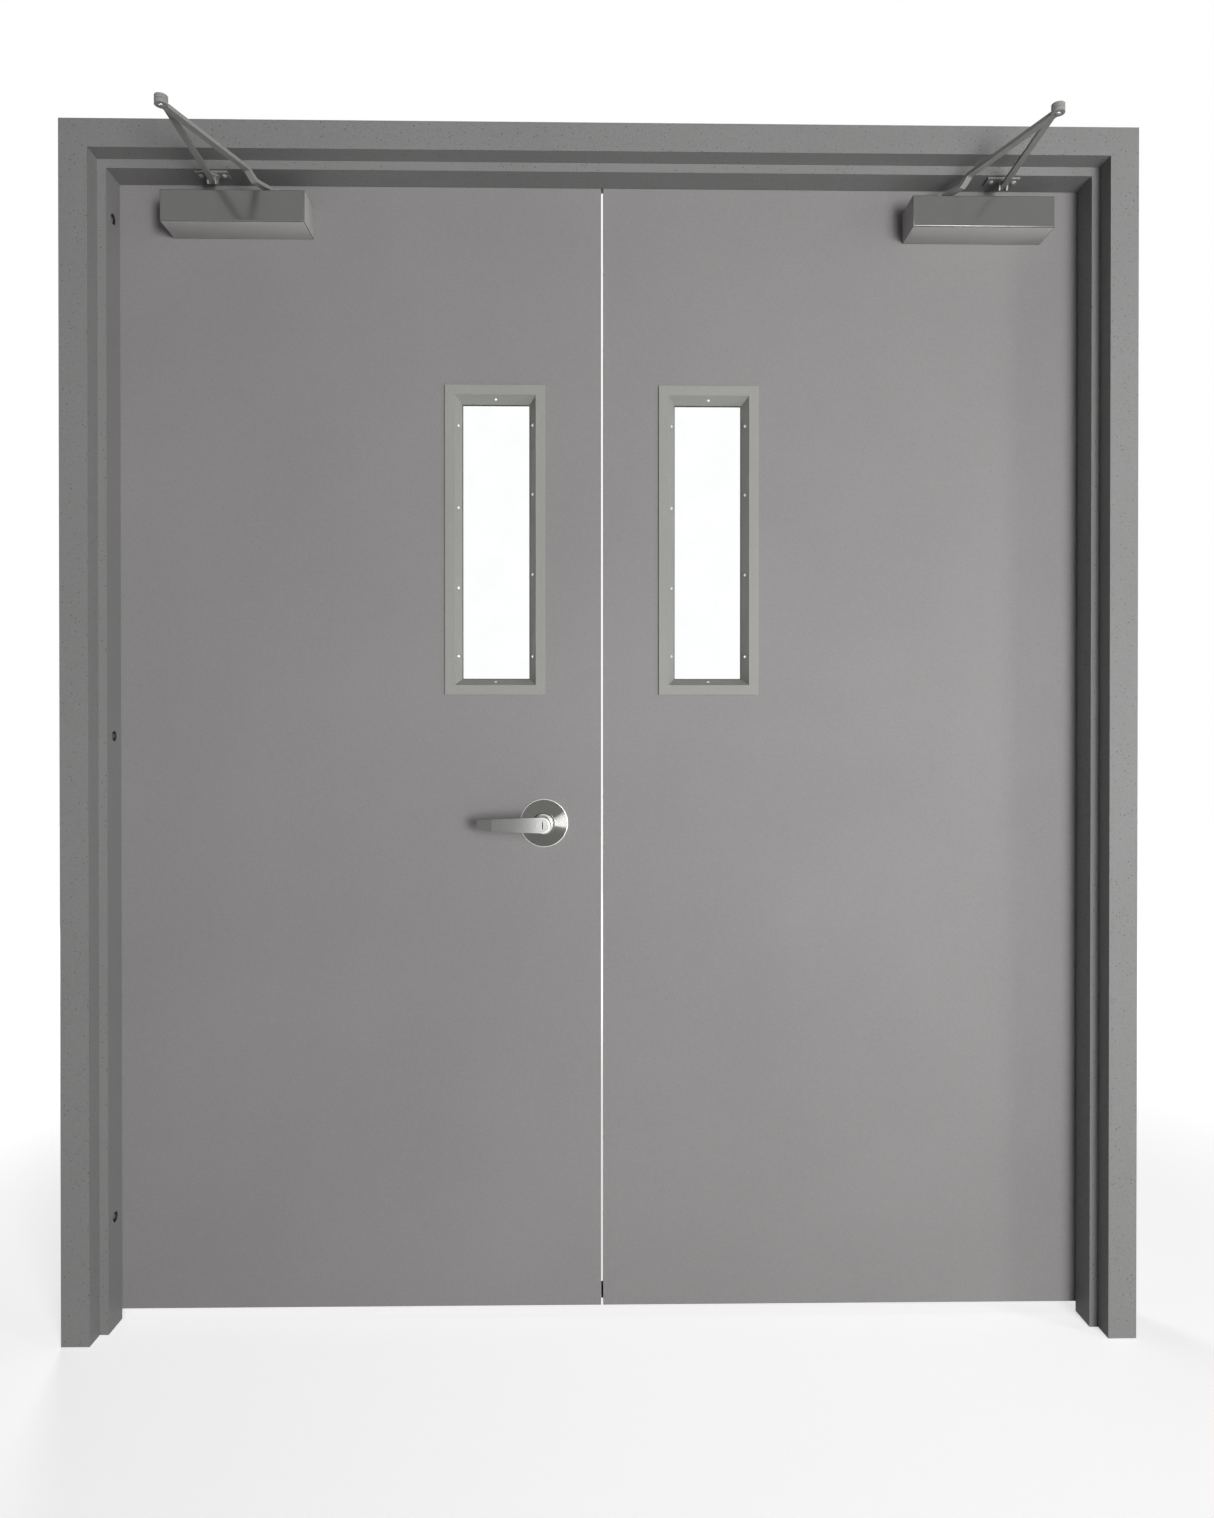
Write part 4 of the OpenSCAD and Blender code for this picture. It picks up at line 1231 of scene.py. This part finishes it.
@dataclass
class Leaf(Assembly):
    """One leaf with its skins, lite, hinges and closer cover."""

    side: Side = Side.LEFT
    lite_x: float = 200.5
    lite_z: float = 1458.4
    lite_half_w: float = 63.5
    lite_half_h: float = 259.5
    slope_w: float = 12.5
    trim_rise: float = 4.0
    glass_half: float = 3.0
    screw: FastenerKind = FastenerKind("lite_screw", HeadStyle.CROSS, 2.9, 1.4, 3.0)
    hinge_screw: FastenerKind = FastenerKind("hinge_screw", HeadStyle.CROSS, 4.8, 0.35, 4.4)
    tape_w: float = 0.9
    tape_t: float = 0.5
    closer_x: float = 669.0
    closer_l: float = 260.0
    closer_z: float = 2019.0
    closer_h: float = 57.0
    closer_front: float = 30.45
    base_edge: float = 2.7
    plate_inset: float = 0.9
    base_t: float = 0.8
    base_sunk: float = 0.55
    left_side_z: tuple[float, ...] = (217.0, 62.5, -88.5, -217.0)
    right_side_z: tuple[float, ...] = (218.0, 88.0, -63.0, -217.5)

    @property
    def body(self) -> str:
        """Name of the leaf's CAD body."""
        return self.side.word + "_leaf"

    def build(self) -> None:
        """Dresses the leaf and adds its screws."""
        word = self.side.word
        self.finish_nodes(
            [word + part for part in ("_front_skin", "_back_skin", "_core", "_end_channels", "_front_trim", "_back_trim", "_glass")]
        )
        self.soften(word + "_leaf_hinges", 0.4, 2)
        self.soften(word + "_closer", 0.5, 2, 40.0)
        # pale plates under and at the ends of the cover, partly painted light
        self.dress(self.cover_plates(), self.body, "closer_metal", Detail.COVER_PLATES_AND_PAINTED_LIGHT)
        self.dress(self.glazing_tape(), self.body, "rubber", Detail.TAPE)
        spots = self.lite_spots()
        self.fasteners.place(word + "_lite_screws", self.screw, spots, self.body, "hinge_steel", 11, Detail.SCREW)
        mine = [s for s in hinge_screws(911.2, (114.0, 131.0), 1) if (s[0].x * 1000 - ORIGIN_X) * self.side.value > 0]
        self.fasteners.place(word + "_hinge_screws", self.hinge_screw, mine, self.body, "hinge_steel", 13)

    def cover_plates(self) -> bpy.types.Object:
        """Makes the plates that close the underside and the ends of the closer's cover; their pale paint, far lighter
        than the cover, is partly painted light for the floor's light on the cover's underside.
        """
        centre = self.side.value * self.closer_x
        inset, sunk = self.plate_inset, self.base_sunk
        half, deep = self.closer_l / 2, LEAF_FRONT - 1.0
        front, proud = self.closer_front + self.base_edge, self.base_t - sunk
        bottom, top = self.closer_z, self.closer_z + self.closer_h
        boxes = [(at(centre - half + inset, front, bottom - proud), at(centre + half - inset, deep, bottom + sunk))]
        for step in (-1, 1):
            ends = sorted((centre + step * (half + proud), centre + step * (half - sunk)))
            boxes.append((at(ends[0], front, bottom + inset), at(ends[1], deep, top - inset)))
        return bars(self.side.word + "_cover_plates", boxes, 0.0002)

    def glazing_tape(self) -> bpy.types.Object:
        """Makes the dark tape that shows between the trim and the glass on both faces."""
        x, z, w, t = self.side.value * self.lite_x, self.lite_z, self.tape_w, self.tape_t
        hw, hh = self.lite_half_w, self.lite_half_h
        boxes = []
        for near in (LEAF_MIDDLE - self.glass_half - t, LEAF_MIDDLE + self.glass_half):
            far = near + t
            for s in (-1, 1):
                side_x = sorted((x + s * hw, x + s * (hw - w)))
                boxes.append((at(side_x[0], near, z - hh), at(side_x[1], far, z + hh)))
                end_z = sorted((z + s * hh, z + s * (hh - w)))
                boxes.append((at(x - hw + w, near, end_z[0]), at(x + hw - w, far, end_z[1])))
        return bars(self.side.word + "_glazing_tape", boxes, 0.00015)

    def lite_spots(self) -> list[tuple[Vector, Vector]]:
        """Returns the screws on the slopes of the front and back trim."""
        middle = self.slope_w / 2
        glass_y = LEAF_MIDDLE - self.glass_half
        rise = (glass_y - LEAF_FRONT + self.trim_rise) / self.slope_w
        y = glass_y - middle * rise
        out = Vector((rise, 0, 1)).normalized()
        centre_x = self.side.value * self.lite_x
        spots = []
        for back in (False, True):
            level = 2 * LEAF_MIDDLE - y if back else y
            way = 1.0 if back else -1.0
            for step, heights in ((-1, self.left_side_z), (1, self.right_side_z)):
                for z in heights:
                    foot = at(centre_x + step * (self.lite_half_w + middle), level, self.lite_z + z)
                    spots.append((foot, Vector((-step * out.x, way * out.z, 0))))
            for step in (-1, 1):
                foot = at(centre_x, level, self.lite_z + step * (self.lite_half_h + middle))
                spots.append((foot, Vector((0, way * out.z, -step * out.x))))
        return spots


@dataclass
class ActiveLock(Assembly):
    """Roses, levers, key cylinder, chassis and latch of the left leaf."""

    plate_screw: FastenerKind = FastenerKind("plate_screw", HeadStyle.CROSS, 3.8, 0.3, 3.6)
    meeting_x: float = -2.0
    lock_z: float = 927.3
    latch_screw_z: float = 22.0
    lock_x: float = -109.3
    collar_r: float = 19.0
    collar_deep: float = 27.0
    # profile of the thin ring at the rose's edge, finished bright as a painted highlight
    rim_profile: tuple[tuple[float, float], ...] = (
        (44.2, 0.3), (45.15, 0.3), (45.3, 1.0), (45.2, 1.9), (44.7, 2.5), (44.1, 2.7), (43.6, 2.6),
    )

    keyway: tuple[float, float] = (0.97, 7.1)

    def paint_collar_highlight(self, lever: bpy.types.Object) -> None:
        """Paints a highlight on the turned collar at the foot of a lever by giving it the bright finish of the
        cylinder.
        """
        axis = at(self.lock_x, LEAF_MIDDLE, self.lock_z)
        reach = (LEAF_BACK - LEAF_FRONT) / 2000 + self.collar_deep / 1000

        def on_collar(middle: Vector) -> bool:
            """Tells whether a face's middle lies on the collar."""
            across = math.hypot(middle.x - axis.x, middle.z - axis.z)
            return across < self.collar_r / 1000 and abs(middle.y - axis.y) < reach

        # painted highlight: the collar faces of the lever take the bright cylinder metal
        self.refinish(lever, Detail.CYLINDER, on_collar)

    def paint_keyway_shade(self, cylinder: bpy.types.Object) -> None:
        """Paints shade on the walls and the bottom of the key slot with the near-black finish."""
        axis = at(self.lock_x, 0.0, self.lock_z)
        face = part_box("key_cylinder")[0][1]
        half_w, half_h = (size / 1000 for size in self.keyway)

        def in_slot(middle: Vector) -> bool:
            """Tells whether a face's middle lies in the slot."""
            return abs(middle.x - axis.x) < half_w and abs(middle.z - axis.z) < half_h and middle.y > face + 0.0001

        # painted shade: near-black walls and bottom of the key slot
        self.refinish(cylinder, Detail.PAINTED_HOLE_SHADE, in_slot)

    def build(self) -> None:
        """Dresses the lock and adds the latch plate's screws."""
        self.finish_nodes(["lock_chassis", "latch"])
        for node in ("front_rose", "back_rose"):
            self.soften(node, 0.6, 3, 20.0, Detail.ROSE)
        for node in ("front_lever", "back_lever"):
            lever = self.soften(node, 1.0, 3, 24.0, Detail.LEVER)
            self.paint_collar_highlight(lever)
        for word, level, way in (("front", LEAF_FRONT, -1.0), ("back", LEAF_BACK, 1.0)):
            # painted highlight: a thin ring at the rose's edge in bright zinc, far brighter than the dark rose it
            # belongs to
            rim = turned(word + "_rose_rim_painted_highlight", self.rim_profile, at(self.lock_x, level, self.lock_z), Vector((0, way, 0)), 96)
            self.dress(rim, "left_leaf", "lock_steel", Detail.SCREW)
        self.paint_keyway_shade(self.soften("key_cylinder", 0.2, 2, detail=Detail.CYLINDER))
        spots = [(at(self.meeting_x, LEAF_MIDDLE, self.lock_z + s * self.latch_screw_z), Vector((1, 0, 0))) for s in (-1, 1)]
        self.fasteners.place("latch_screws", self.plate_screw, spots, "left_leaf", "lock_steel", 17)


@dataclass
class InactiveHardware(Assembly):
    """Strike, flush bolts and pad of the right leaf."""

    plate_screw: FastenerKind = FastenerKind("plate_screw", HeadStyle.CROSS, 3.8, 0.3, 3.6)
    meeting_x: float = 2.0
    strike_z: float = 927.3
    strike_screw_z: float = 48.0
    bolt_z: tuple[float, float] = (253.5, 1894.9)
    bolt_screw_z: float = 72.0

    def build(self) -> None:
        """Dresses the plates and adds their screws."""
        self.finish_nodes(["strike_plate", "flush_bolts", "meeting_edge_pad"])
        spots = []
        for centre, step in ((self.strike_z, self.strike_screw_z), *((z, self.bolt_screw_z) for z in self.bolt_z)):
            for s in (-1, 1):
                spots.append((at(self.meeting_x, LEAF_MIDDLE, centre + s * step), Vector((-1, 0, 0))))
        self.fasteners.place("edge_plate_screws", self.plate_screw, spots, "right_leaf", "lock_steel", 19)


@dataclass
class CloserLinkage(Assembly):
    """Main arm, forearm and yoke of one closer."""

    side: Side = Side.LEFT
    closer_x: float = 669.0
    pinion_x: float = 71.0
    pinion_y: float = 64.45
    elbow_x: float = 39.6
    elbow_out: float = 189.7
    bracket_x: float = 43.0
    bracket_y: float = 57.0
    ear_reach: float = 8.3
    hub_bolt: FastenerKind = FastenerKind("hub_bolt", HeadStyle.HEX, 6.5, 1.2)
    elbow_rivet: FastenerKind = FastenerKind("elbow_rivet", HeadStyle.DOME, 5.4, 1.2)
    elbow_screw: FastenerKind = FastenerKind("elbow_screw", HeadStyle.CROSS, 3.9, 1.4, 3.8)
    ear_rivet: FastenerKind = FastenerKind("ear_rivet", HeadStyle.DOME, 2.4, 0.9)

    def build(self) -> None:
        """Dresses the arms and adds their rivets and bolts."""
        word = self.side.word
        for part, extra in (("_main_arm", 1.1), ("_forearm", 0.3), ("_yoke", 0.0)):
            self.soften(word + part, 0.25, 2, extra=extra)
        s = self.side.value
        up, down = Vector((0, 0, 1)), Vector((0, 0, -1))
        hub = at(s * (self.closer_x - self.pinion_x), self.pinion_y, HUB_TOP_Z)
        elbow = s * (self.closer_x + self.elbow_x)
        arm_body, fore_body = word + "_main_arm_body", word + "_forearm_body"
        self.fasteners.place(word + "_hub_bolt", self.hub_bolt, [(hub, up)], arm_body, "arm_steel", 23)
        self.fasteners.place(word + "_elbow_screw", self.elbow_screw, [(at(elbow, -self.elbow_out, MAIN_ARM_Z), down)], arm_body, "hinge_steel", 29, Detail.SCREW)
        top = at(elbow, -self.elbow_out, FOREARM_Z + FOREARM_T + ELBOW_BOSS)
        self.fasteners.place(word + "_elbow_rivet", self.elbow_rivet, [(top, up)], fore_body, "arm_steel", 31)
        bracket_x = s * (self.closer_x + self.bracket_x)
        along = Vector((elbow - bracket_x, -self.elbow_out - self.bracket_y, 0)).normalized()
        across = Vector((-along.y, along.x, 0))
        rivets = []
        for way in (-1, 1):
            foot = at(bracket_x, self.bracket_y, FOREARM_Z + FOREARM_T / 2) + across * way * self.ear_reach / 1000
            rivets.append((foot, across * way))
        self.fasteners.place(word + "_ear_rivets", self.ear_rivet, rivets, fore_body, "arm_steel", 37)


# Stage


@dataclass(frozen=True)
class SoftLamp:
    """A soft rectangular lamp, placed in metres about the middle of the doorway."""

    name: str
    place: Point
    target: Point
    width: float
    height: float
    power: float

    def light(self) -> None:
        """Adds the lamp to the scene."""
        data = bpy.data.lights.new(self.name, "AREA")
        data.shape = "RECTANGLE"
        data.size = self.width
        data.size_y = self.height
        data.energy = self.power
        lamp = bpy.data.objects.new(self.name, data)
        bpy.context.scene.collection.objects.link(lamp)
        lamp.location = at(*(1000 * v for v in self.place))
        way = at(*(1000 * v for v in self.target)) - lamp.location
        lamp.rotation_euler = way.to_track_quat("-Z", "Y").to_euler()


@dataclass
class Studio:
    """Floor, world, lamps and camera."""

    camera_place: Point = (-22.28, -1923.67, 1057.53)
    camera_pitch: float = -0.28
    camera_yaw: float = -0.89
    focal_pixels: float = 1074.46
    image_width: int = 1214
    floor_tone: float = 0.8
    floor_lift_near: float = 0.62
    floor_lift_far: float = 1.0
    floor_fade: tuple[float, float] = (1.2, 3.2)
    floor_reach: float = 14.0
    ambient: float = 0.038
    lamps: tuple[SoftLamp, ...] = (
        SoftLamp("near_right_lamp", (1.4, -4.0, 1.05), (0.0, 0.0, 1.1), 0.8, 2.0, 87.0),
        SoftLamp("far_right_lamp", (2.6, -5.5, 0.9), (0.0, 0.0, 1.1), 1.5, 1.7, 156.0),
        SoftLamp("side_strip_lamp", (3.1, -1.5, 1.25), (0.0, 0.0, 1.1), 0.3, 2.4, 17.0),
        SoftLamp("back_lamp", (-2.6, 5.0, 1.5), (0.0, 0.2, 1.05), 1.6, 1.8, 170.0),
    )

    def build(self) -> None:
        """Makes everything that isn't part of the door."""
        self.camera()
        self.floor()
        self.world()
        for lamp in self.lamps:
            lamp.light()

    def camera(self) -> None:
        """Places the camera where the photograph was taken from."""
        data = bpy.data.cameras.new("camera")
        data.sensor_fit = "HORIZONTAL"
        data.sensor_width = 36.0
        data.lens = 36.0 * self.focal_pixels / self.image_width
        data.clip_end = 100.0
        camera = bpy.data.objects.new("camera", data)
        bpy.context.scene.collection.objects.link(camera)
        camera.location = at(*self.camera_place)
        camera.rotation_euler = (math.radians(90 + self.camera_pitch), 0.0, math.radians(self.camera_yaw))
        bpy.context.scene.camera = camera

    def floor(self) -> None:
        """Lays a plain pale floor that keeps the door's shadow and fades into the background."""
        data = bpy.data.meshes.new("floor")
        r = self.floor_reach
        data.from_pydata([(-r, -r, 0), (r, -r, 0), (r, r, 0), (-r, r, 0)], [], [(0, 1, 2, 3)])
        floor = new_piece("floor", data)
        material = bpy.data.materials.new("pale_floor")
        material.use_nodes = True
        tree = material.node_tree
        tree.nodes.clear()
        matt = add_node(tree, "ShaderNodeBsdfDiffuse")
        matt.inputs["Color"].default_value = (self.floor_tone, self.floor_tone, self.floor_tone, 1.0)
        place = add_node(tree, "ShaderNodeTexCoord")
        away = add_node(tree, "ShaderNodeVectorMath", operation="DISTANCE")
        away.inputs[1].default_value = at(0.0, ORIGIN_Y, 0.0)
        tree.links.new(place.outputs["Object"], away.inputs[0])
        fade = add_node(tree, "ShaderNodeMapRange", interpolation_type="SMOOTHSTEP")
        for key, number in zip(
            ("From Min", "From Max", "To Min", "To Max"), (*self.floor_fade, self.floor_lift_near, self.floor_lift_far)
        ):
            fade.inputs[key].default_value = number
        tree.links.new(away.outputs["Value"], fade.inputs["Value"])
        power = add_node(tree, "ShaderNodeMath", operation="MULTIPLY")
        tree.links.new(self.seen_ray(tree), power.inputs[0])
        tree.links.new(fade.outputs[0], power.inputs[1])
        lift = add_node(tree, "ShaderNodeEmission")
        tree.links.new(power.outputs[0], lift.inputs["Strength"])
        both = add_node(tree, "ShaderNodeAddShader")
        tree.links.new(matt.outputs[0], both.inputs[0])
        tree.links.new(lift.outputs[0], both.inputs[1])
        out = add_node(tree, "ShaderNodeOutputMaterial")
        tree.links.new(both.outputs[0], out.inputs["Surface"])
        data.materials.append(material)

    def seen_ray(self, tree: bpy.types.NodeTree) -> bpy.types.NodeSocket:
        """Adds Light Path and returns 1 for camera, glossy and transmission rays."""
        path = add_node(tree, "ShaderNodeLightPath")
        first = add_node(tree, "ShaderNodeMath", operation="MAXIMUM")
        second = add_node(tree, "ShaderNodeMath", operation="MAXIMUM")
        tree.links.new(path.outputs["Is Camera Ray"], first.inputs[0])
        tree.links.new(path.outputs["Is Glossy Ray"], first.inputs[1])
        tree.links.new(first.outputs[0], second.inputs[0])
        tree.links.new(path.outputs["Is Transmission Ray"], second.inputs[1])
        return second.outputs[0]

    def world(self) -> None:
        """Makes a white background and a dim light from all sides."""
        world = bpy.data.worlds.new("studio")
        bpy.context.scene.world = world
        world.use_nodes = True
        tree = world.node_tree
        shade = tree.nodes["Background"]
        shade.inputs["Color"].default_value = (1.0, 1.0, 1.0, 1.0)
        ramp = add_node(tree, "ShaderNodeMapRange")
        ramp.inputs["To Min"].default_value = self.ambient
        ramp.inputs["To Max"].default_value = 1.0
        tree.links.new(self.seen_ray(tree), ramp.inputs["Value"])
        tree.links.new(ramp.outputs[0], shade.inputs["Strength"])


def main() -> None:
    """Dresses the door piece by piece and sets the stage."""
    logging.basicConfig(level=logging.INFO, format="%(name)s: %(message)s")
    finishes = Finishes()
    fasteners = Fasteners(finishes)
    WeldedFrame(finishes, fasteners).build()
    for side, closer_x in ((Side.LEFT, 669.0), (Side.RIGHT, 696.0)):
        Leaf(finishes, fasteners, side=side, closer_x=closer_x).build()
        CloserLinkage(finishes, fasteners, side=side, closer_x=closer_x).build()
    ActiveLock(finishes, fasteners).build()
    InactiveHardware(finishes, fasteners).build()
    Studio().build()
    bpy.context.scene.view_settings.view_transform = "Standard"


if __name__ == "__main__":
    main()
